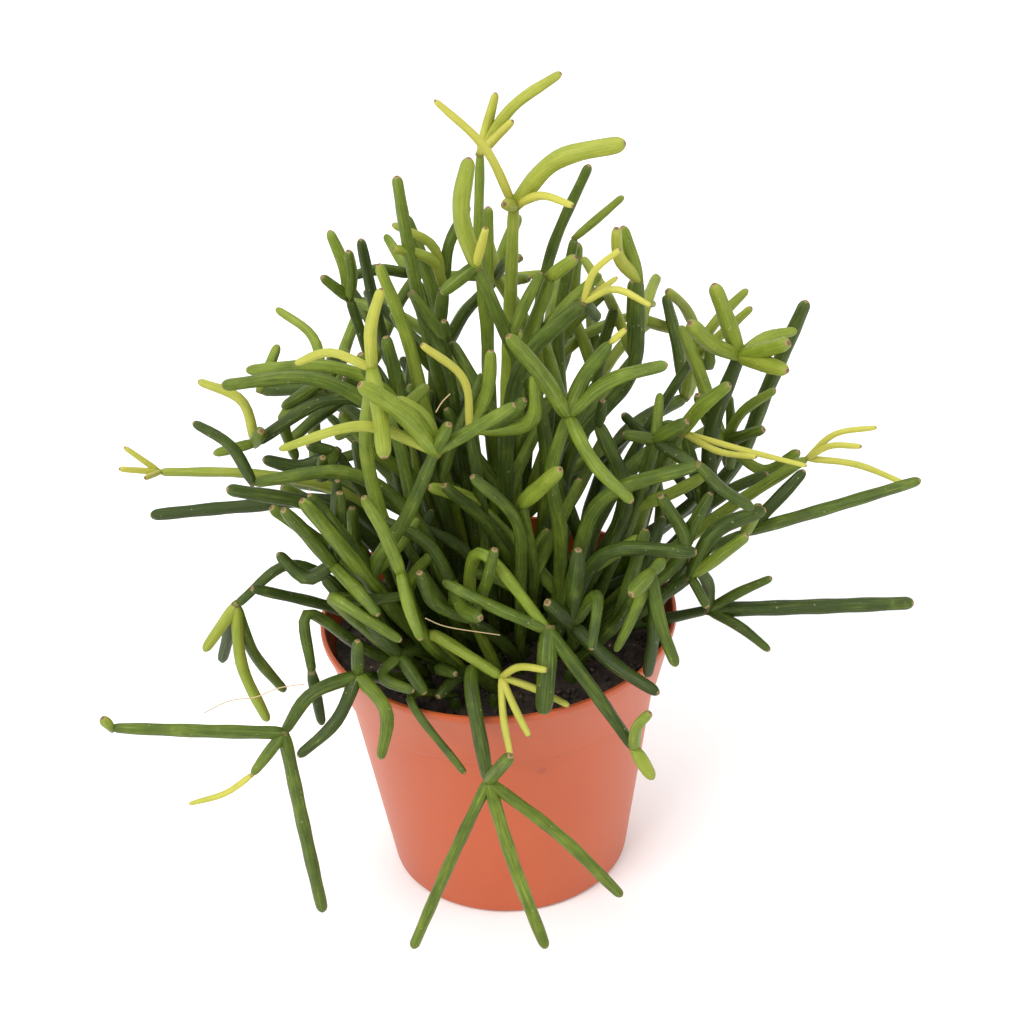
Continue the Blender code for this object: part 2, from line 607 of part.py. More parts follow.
def nearest_on_edges(points, ends, first, second):
    """For pairs of edges, how far along each the closest points lie, and the vector between them."""
    p, q = points[ends[first, 0]], points[ends[second, 0]]
    u, v = points[ends[first, 1]] - p, points[ends[second, 1]] - q
    w = p - q
    a, b, c = (u * u).sum(1), (u * v).sum(1), (v * v).sum(1)
    d, e = (u * w).sum(1), (v * w).sum(1)
    s = np.clip((b * e - c * d) / np.maximum(a * c - b * b, 1e-9), 0.0, 1.0)
    t = np.clip((b * s + e) / c, 0.0, 1.0)
    s = np.clip((b * t - d) / a, 0.0, 1.0)
    return s, t, w + u * s[:, None] - v * t[:, None]


def near_pairs(points, ends, clumps):
    """Pairs of edges of different clumps that lie close enough to matter."""
    middle = points[ends].mean(1)
    half = np.linalg.norm(points[ends[:, 0]] - points[ends[:, 1]], axis=1) / 2
    first, second = np.triu_indices(len(ends), 1)
    other = clumps[first] != clumps[second]
    first, second = first[other], second[other]
    gap = np.linalg.norm(middle[first] - middle[second], axis=1) - half[first] - half[second]
    return first[gap < 9.0], second[gap < 9.0]


def spread(push, weight, rows, moves, share):
    """Share out moves to the rows they act on."""
    np.add.at(push, rows, moves * share[:, None])
    np.add.at(weight, rows, share)


def pot_push(place, radius):
    """How far a ball on a stem must move to stay clear of the soil, the rim and the pot's side."""
    out = np.linalg.norm(place[:, :2], axis=1)
    lane = place[:, :2] / np.maximum(out, 1e-6)[:, None]
    move = np.zeros_like(place)
    need = radius + 0.8
    side = FOOT_RADIUS + (RIM_RADIUS - FOOT_RADIUS) * np.clip(place[:, 2] / POT_HEIGHT, 0.0, 1.0)
    side = np.where(place[:, 2] > POT_HEIGHT - COLLAR_DROP - 8, RIM_RADIUS, side)
    over = (np.abs(out - RIM_RADIUS + 0.7) < 0.7 + need)
    rise = POT_HEIGHT + need - place[:, 2]
    outside = out > RIM_RADIUS - 0.7
    lift = over & (rise > 0) & (rise < 14)
    move[:, 2] = np.where(lift, rise * 0.5, 0.0)
    shove = np.where(outside & (place[:, 2] < POT_HEIGHT), np.maximum(side + need - out, 0.0), 0.0)
    shove -= np.where(~outside & (rise > 0), np.maximum(out + need - RIM_RADIUS + 1.4, 0.0), 0.0)
    move[:, :2] += lane * shove[:, None] * 0.5
    sunk = SOIL_TOP + SOIL_ROUGHNESS + need - place[:, 2]
    move[:, 2] += np.where(~outside & (sunk > 0), sunk * 0.5, 0.0)
    low = FLOOR_CLEARANCE - place[:, 2]
    move[:, 2] += np.where(low > 0, low, 0.0)
    return move


def relax(plant):
    """Bend the stems of different clumps clear of each other and of the pot, mostly along the sight line."""
    points, start = plant.points, plant.points.copy()
    ends, radius, clumps = edge_table(plant)
    loose = 1.0 - np.array(plant.fixed)[:, None]
    free = np.flatnonzero(loose[ends].sum(1)[:, 0] > 0)
    view = np.array(AHEAD)
    order = start[ends].mean(1) @ view
    for turn in range(RELAX_ROUNDS):
        if turn % 8 == 0:
            first, second = near_pairs(points, ends, clumps)
        s, t, apart = nearest_on_edges(points, ends, first, second)
        gap = np.linalg.norm(apart, axis=1)
        lack = radius[first] + radius[second] + STEM_GAP - gap
        hit = lack > 0
        a, b, s, t, apart, lack = first[hit], second[hit], s[hit], t[hit], apart[hit], lack[hit]
        depth = apart @ view
        sign = np.where(np.abs(depth) > 0.3, np.sign(depth), np.sign(order[a] - order[b]))
        flat = apart - depth[:, None] * view
        aim = view * (sign * np.maximum(np.abs(depth), 0.6))[:, None] + 0.45 * flat
        aim /= np.linalg.norm(aim, axis=1)[:, None]
        push, weight = np.zeros_like(points), np.zeros(len(points))
        move = aim * (0.5 * lack)[:, None]
        spread(push, weight, ends[a, 0], move, 1 - s)
        spread(push, weight, ends[a, 1], move, s)
        spread(push, weight, ends[b, 0], -move, 1 - t)
        spread(push, weight, ends[b, 1], -move, t)
        for part in (0.0, 0.25, 0.5, 0.75, 1.0):
            near, far = ends[free, 0], ends[free, 1]
            place = points[near] * (1 - part) + points[far] * part
            move = pot_push(place, radius[free])
            touched = (np.abs(move).sum(1) > 0).astype(float)
            spread(push, weight, near, move, touched * (1 - part))
            spread(push, weight, far, move, touched * part)
        points += loose * push / np.maximum(weight, 0.6)[:, None] * 1.3
        if turn < RELAX_ROUNDS * 0.8:
            drift = points - start
            total, count = drift.copy(), np.ones(len(points))
            for x, y in ((0, 1), (1, 0)):
                np.add.at(total, ends[:, x], drift[ends[:, y]])
                np.add.at(count, ends[:, x], 1.0)
            points[:] = start + loose * (0.75 * drift + 0.25 * total / count[:, None])
    plant.points = points


def plain_material(name, colour, roughness):
    """A Principled material of one colour."""
    material = bpy.data.materials.new(name)
    material.use_nodes = True
    shader = material.node_tree.nodes["Principled BSDF"]
    shader.inputs["Base Color"].default_value = (*colour, 1.0)
    shader.inputs["Roughness"].default_value = roughness
    shader.inputs["Metallic"].default_value = 0.0
    material.diffuse_color = (*colour, 1.0)
    return material


def mesh_object(name, mesh_data, material):
    """Put a bmesh into the scene as an object, in metres."""
    mesh = bpy.data.meshes.new(name)
    bmesh.ops.scale(mesh_data, vec=(MM, MM, MM), verts=mesh_data.verts)
    bmesh.ops.recalc_face_normals(mesh_data, faces=mesh_data.faces)
    mesh_data.to_mesh(mesh)
    mesh_data.free()
    mesh.materials.append(material)
    thing = bpy.data.objects.new(name, mesh)
    bpy.context.scene.collection.objects.link(thing)
    return thing


def turned(profile, sides):
    """A body turned about +Z from a closed run of (radius, height) points; radius 0 meets the axis."""
    body = bmesh.new()
    verts = [body.verts.new((radius, 0.0, height)) for radius, height in profile]
    edges = [body.edges.new(pair) for pair in zip(verts, verts[1:])]
    if profile[0][0] > 0:
        edges.append(body.edges.new((verts[-1], verts[0])))
    bmesh.ops.spin(body, geom=verts + edges, cent=(0, 0, 0), axis=(0, 0, 1), angle=math.tau,
                   steps=sides, use_merge=True)
    bmesh.ops.remove_doubles(body, verts=body.verts, dist=0.001)
    return body


def combine(target, others, operation, solver):
    """Apply a Boolean of the target with all the others, and take the others away."""
    if not others:
        return
    group = bpy.data.collections.new(f"{target.name} tools")
    bpy.context.scene.collection.children.link(group)
    for other in others:
        bpy.context.scene.collection.objects.unlink(other)
        group.objects.link(other)
    cut = target.modifiers.new("combine", "BOOLEAN")
    cut.operation = operation
    cut.solver = solver
    cut.operand_type = "COLLECTION"
    cut.collection = group
    bpy.context.view_layer.objects.active = target
    bpy.ops.object.modifier_apply(modifier=cut.name)
    for other in others:
        bpy.data.objects.remove(other)
    bpy.data.collections.remove(group)


def cylinder(name, radius, low, high, sides, x, y, material):
    """An upright cylinder to cut with."""
    body = bmesh.new()
    bmesh.ops.create_cone(body, cap_ends=True, segments=sides, radius1=radius, radius2=radius,
                          depth=high - low, matrix=Matrix.Translation((x, y, (low + high) / 2)))
    return mesh_object(name, body, material)


def make_pot(material):
    """A thin moulded pot: a tapered side, a stepped collar, a rolled lip and a drained foot."""
    collar_foot = POT_HEIGHT - COLLAR_DROP
    waist = COLLAR_RADIUS - COLLAR_STEP
    floor = FLOOR_THICKNESS + GROOVE_DEPTH
    profile = [
        (0.0, 0.0), (GROOVE_INNER, 0.0), (GROOVE_INNER, GROOVE_DEPTH), (GROOVE_OUTER, GROOVE_DEPTH),
        (GROOVE_OUTER, 0.0), (FOOT_RADIUS - 1.0, 0.0), (FOOT_RADIUS, 1.0),
        (waist, collar_foot - 1.0), (COLLAR_RADIUS, collar_foot),
        (RIM_RADIUS - 0.6, POT_HEIGHT - LIP_DEPTH), (RIM_RADIUS, POT_HEIGHT - LIP_DEPTH + 0.5),
        (RIM_RADIUS, POT_HEIGHT - 0.5), (RIM_RADIUS - 0.5, POT_HEIGHT),
        (RIM_RADIUS - LIP_WIDTH, POT_HEIGHT), (RIM_RADIUS - LIP_WIDTH - 0.3, POT_HEIGHT - LIP_DEPTH),
        (COLLAR_RADIUS - WALL, collar_foot + 1.0), (waist - WALL, collar_foot - 1.0),
        (FOOT_RADIUS - WALL, floor), (0.0, floor),
    ]
    pot = mesh_object("pot", turned(profile, POT_SIDES), material)
    drains = []
    for number in range(DRAIN_COUNT):
        angle = math.tau * number / DRAIN_COUNT
        drains.append(cylinder(f"drain {number}", DRAIN_RADIUS, -1.0, floor + 1.0, 8,
                               DRAIN_CIRCLE * math.cos(angle), DRAIN_CIRCLE * math.sin(angle), material))
    combine(pot, drains, "DIFFERENCE", "EXACT")
    return pot


def make_soil(plant, material):
    """The peat, a fit's clearance inside the pot, uneven on top, with a plain hole for each clump."""
    rng = random.Random(7)
    floor = FLOOR_THICKNESS + GROOVE_DEPTH
    collar_foot = POT_HEIGHT - COLLAR_DROP
    waist = COLLAR_RADIUS - COLLAR_STEP - WALL
    share = (SOIL_TOP - collar_foot - 1.0) / (COLLAR_DROP - LIP_DEPTH - 1.0)
    edge = COLLAR_RADIUS - WALL + (RIM_RADIUS - LIP_WIDTH - 0.3 - COLLAR_RADIUS + WALL) * share
    profile = [(0.0, floor + FIT), (FOOT_RADIUS - WALL - FIT, floor + FIT),
               (waist - FIT, collar_foot - 1.0), (COLLAR_RADIUS - WALL - FIT, collar_foot + 1.0 + FIT),
               (edge - FIT, SOIL_TOP)]
    profile += [(edge * ring, SOIL_TOP) for ring in reversed(SOIL_RINGS)] + [(0.0, SOIL_TOP)]
    body = turned(profile, SOIL_SIDES)
    for vert in body.verts:
        if vert.co.z > SOIL_TOP - 0.01 and math.hypot(vert.co.x, vert.co.y) < edge - 1.0:
            vert.co.z += rng.uniform(-SOIL_ROUGHNESS, SOIL_ROUGHNESS)
    soil = mesh_object("soil", body, material)
    holes = []
    for limb in plant.limbs:
        x, y, z = plant.points[limb.rows[0]]
        if z < SOIL_TOP - 1.0:
            radius = BASAL_RADIUS + HOLE_CLEARANCE
            low, high = SOIL_TOP - HOLE_DEPTH, SOIL_TOP + 9.0
            holes.append(cylinder("hole", radius, low, high, HOLE_SIDES, x, y, material))
    combine(soil, holes, "DIFFERENCE", "EXACT")
    return soil


def limb_mesh(points, radius, rooted):
    """A faceted tube along a limb: narrow at its joint, full along its length, drawn in at its tip."""
    sides = STEM_SIDES if radius > THIN_RADIUS else THIN_SIDES
    path = [Vector(p) for p in points]
    if not rooted:
        path[0] = path[0] - (path[1] - path[0]).normalized() * (0.55 * radius)
    widths = [0.8] + [1.0] * (len(path) - 2) + [0.72]
    if rooted:
        widths = [1.0, 1.0]
    body = bmesh.new()
    rings, previous = [], None
    for number, (centre, width) in enumerate(zip(path, widths)):
        behind, beyond = path[max(number - 1, 0)], path[min(number + 1, len(path) - 1)]
        along = (beyond - behind).normalized()
        side = previous or along.orthogonal()
        side = (side - along * side.dot(along)).normalized()
        previous = side
        other = along.cross(side)
        ring = []
        for step in range(sides):
            turn = math.tau * step / sides
            spoke = side * math.cos(turn) + other * math.sin(turn)
            ring.append(body.verts.new(centre + spoke * radius * width))
        rings.append(ring)
    body.faces.new(rings[0])
    for low, high in zip(rings, rings[1:]):
        for step in range(sides):
            after = (step + 1) % sides
            body.faces.new((low[step], low[after], high[after], high[step]))
    if sides == THIN_SIDES:
        body.faces.new(rings[-1])
    else:
        peak = body.verts.new(path[-1] + along * (0.6 * radius))
        for step in range(sides):
            body.faces.new((rings[-1][step], rings[-1][(step + 1) % sides], peak))
    bmesh.ops.triangulate(body, faces=body.faces)
    return body


def weld_slivers(thing):
    """Close up the short edges that a union leaves, as far as the body stays whole."""
    for width in SLIVERS:
        body = bmesh.new()
        body.from_mesh(thing.data)
        bmesh.ops.triangulate(body, faces=body.faces)
        bmesh.ops.dissolve_degenerate(body, dist=width * MM, edges=body.edges)
        bmesh.ops.triangulate(body, faces=body.faces)
        whole = all(edge.is_manifold and edge.is_contiguous for edge in body.edges)
        if whole and all(vert.is_manifold for vert in body.verts):
            body.to_mesh(thing.data)
            body.free()
            return
        body.free()


def make_clumps(plant, names, material):
    """Each clump's limbs run together into one body."""
    for number, name in enumerate(names):
        limbs = [limb for limb in plant.limbs if limb.clump == number]
        pieces = [mesh_object(f"stems_{name}" if not index else f"piece {index}",
                              limb_mesh(plant.points[limb.rows], limb.radius, index == 0), material)
                  for index, limb in enumerate(limbs)]
        combine(pieces[0], pieces[1:], "UNION", "MANIFOLD")
        weld_slivers(pieces[0])


def main():
    for thing in list(bpy.data.objects):
        bpy.data.objects.remove(thing, do_unlink=True)
    plant, names = grow_plant()
    relax(plant)
    make_pot(plain_material("terracotta plastic", (0.63, 0.14, 0.065), 0.42))
    make_soil(plant, plain_material("peat", (0.018, 0.012, 0.009), 0.95))
    make_clumps(plant, names, plain_material("green stem", (0.11, 0.17, 0.035), 0.5))


main()
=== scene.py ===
import math
import random
from collections import namedtuple

import bpy
import numpy as np
from bpy.props import FloatProperty, FloatVectorProperty, IntProperty, PointerProperty
from mathutils import Matrix, Vector


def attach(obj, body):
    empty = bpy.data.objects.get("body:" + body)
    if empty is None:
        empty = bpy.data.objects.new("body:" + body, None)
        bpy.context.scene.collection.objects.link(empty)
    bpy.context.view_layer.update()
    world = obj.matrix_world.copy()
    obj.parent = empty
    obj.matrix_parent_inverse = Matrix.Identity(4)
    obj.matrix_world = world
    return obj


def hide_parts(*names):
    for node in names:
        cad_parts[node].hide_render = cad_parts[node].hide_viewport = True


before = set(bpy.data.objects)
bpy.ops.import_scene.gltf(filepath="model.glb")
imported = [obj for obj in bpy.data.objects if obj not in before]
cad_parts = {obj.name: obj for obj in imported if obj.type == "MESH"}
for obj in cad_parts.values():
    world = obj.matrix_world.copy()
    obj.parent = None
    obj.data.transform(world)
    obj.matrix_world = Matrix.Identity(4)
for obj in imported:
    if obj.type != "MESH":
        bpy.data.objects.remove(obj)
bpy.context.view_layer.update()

bl_info = {
    "name": "Potted mistletoe cactus",
    "version": (1, 0, 0),
    "blender": (4, 5, 0),
    "location": "3D View > Sidebar > Cactus",
    "description": "Dresses the potted mistletoe cactus with fine stems, peat, a moulded pot and a studio",
    "category": "Object",
}

MM = 0.001

# The pot, in millimetres
RIM_RADIUS = 52.5
POT_HEIGHT = 85.6
FOOT_RADIUS = 36.0
COLLAR_DROP = 20.0
COLLAR_STEP = 1.1
COLLAR_RADIUS = 47.2
WALL = 1.2
LIP_WIDTH = 1.4
LIP_DEPTH = 2.2
FLOOR_THICKNESS = 1.8
GROOVE_DEPTH = 2.0
GROOVE_INNER = 12.0
GROOVE_OUTER = 31.0
DRAIN_COUNT = 8
DRAIN_RADIUS = 3.6
DRAIN_CIRCLE = 21.5
COLLAR_FOOT = POT_HEIGHT - COLLAR_DROP
POT_WAIST = COLLAR_RADIUS - COLLAR_STEP
POT_FLOOR = FLOOR_THICKNESS + GROOVE_DEPTH
LIP_FOOT = POT_HEIGHT - LIP_DEPTH
INNER_LIP = RIM_RADIUS - LIP_WIDTH

# The soil, in millimetres
SOIL_TOP = 76.6
SOIL_ROUGHNESS = 1.3
ROOT_DEPTH = 6.0
FIT = 0.35

# Where the picture was taken from: a pinhole, in pixels, millimetres and degrees
FRAME_CENTRE = 512.0
FOCAL = 2500.0
EYE_DISTANCE = 718.0
EYE_ELEVATION = 32.4
EYE_ROLL = -3.0
TARGET_ACROSS = 5.6
TARGET_HEIGHT = 119.7

# The stems, in millimetres
KNOT_SPACING = 26.0
CURVE_STEPS = 8
SHORT_LIMB = 0.7
BASAL_RADIUS = 2.1
BASAL_HEIGHT = 5.0
SHOOT_RADIUS = 0.9

# Where the clumps stand: their spacing and reach, and how far each follows its spray's own side
ROOT_SPACING = 8.4
ROOT_REACH = 41.0
ROOT_FORWARD = 0.55
ROOT_SIDE = 0.42
ROOT_INWARD = 0.85
ROOT_ROUNDS = 400
ROOT_EASE = 0.3
MOST_CLUMPS = 54
MOST_SPRAYS = 3

# Bending the stems clear: gaps and reaches in millimetres
STEM_GAP = 0.7
POT_GAP = 0.8
FLOOR_CLEARANCE = 4.0
NEAR_GAP = 9.0
COLLAR_GUARD = 8.0
LIFT_REACH = 14.0
# How often and how strongly they are bent
RELAX_ROUNDS = 200
PAIR_ROUNDS = 8
SMOOTH_SHARE = 0.8
SMOOTHING = 0.25
SURE_DEPTH = 0.3
LEAST_DEPTH = 0.6
SIDEWAYS = 0.45
LEAST_WEIGHT = 0.6
OVERSHOOT = 1.3
PLACES_ON_EDGE = (0.0, 0.25, 0.5, 0.75, 1.0)

# The rule that fills the middle and the far side, in millimetres, radians and shares
FILL_SEED = 41
FILL_SPRAYS = 16
FILL_START = 0.04
FILL_SPAN = 0.92
FILL_PLACE = (0.2, 0.8)
FILL_CIRCLES = (0.6, 0.9)
FILL_REACH = 88.0
FILL_FRONT = 4.0
FILL_RISE = 8.0
FILL_TURN = 0.25
FILL_LIFT = (0.6, 1.2)
FILL_LENGTH = (56.0, 74.0)
SHORTER_LENGTHS = (50.0, 40.0, 30.0)
BEND_OUT = 0.3
BEND_UP = 0.6
FILL_RADIUS = (1.9, 2.4)
FILL_AGE = 0.15
# The whorls at a hidden spray's tip and at its stems' tips
WHORL = 5
WHORL_SPLAY = (0.5, 1.1)
WHORL_LENGTH = (24.0, 42.0)
WHORL_SHORTENING = 0.7
WHORL_DROOP = -0.35
WHORL_RADIUS = (1.7, 2.2)
WHORL_THINNING = 0.2
WHORL_AGE = (0.1, 0.5)
SECOND_WHORL = 3
SECOND_SHARE = 0.6
SECOND_TURN = 1.6
# The short twigs at the joints of the traced trunks
TWIGS_AT_JOINT = 3
TWIG_SHARE = 0.34
TWIG_TURN = 0.5
TWIG_SPLAY = (0.6, 1.3)
TWIG_LENGTH = (18.0, 36.0)
TWIG_DROOP = (-0.4, 0.3)
TWIG_FORWARD = 8.0
TWIG_FRONT = -40.0
TWIG_RISE = 6.0
TWIG_RADIUS = (1.5, 1.84)
TWIG_AGE = (0.0, 0.3)
# Where the front sprays hide what stands behind them, as pixels of the picture
SCREEN = [(262, 480), (300, 345), (345, 262), (400, 222), (480, 196), (600, 215), (690, 305), (752, 400),
          (770, 470), (700, 590), (330, 600)]


# One traced segment: its knots, how far forward it ends, its radius, its age and what grows on it.
# Age runs from 0, old and dark, to 1, a fresh yellow shoot.
Stem = namedtuple("Stem", "knots forward radius age buds", defaults=(0.0, ()))
# One segment placed in space: the row numbers of its points, its radius, age and clump
Limb = namedtuple("Limb", "rows radius age clump")


def shoot(knots, forward, radius=SHOOT_RADIUS):
    """A thin fresh yellow shoot."""
    return Stem(knots, forward, radius, 1.0)


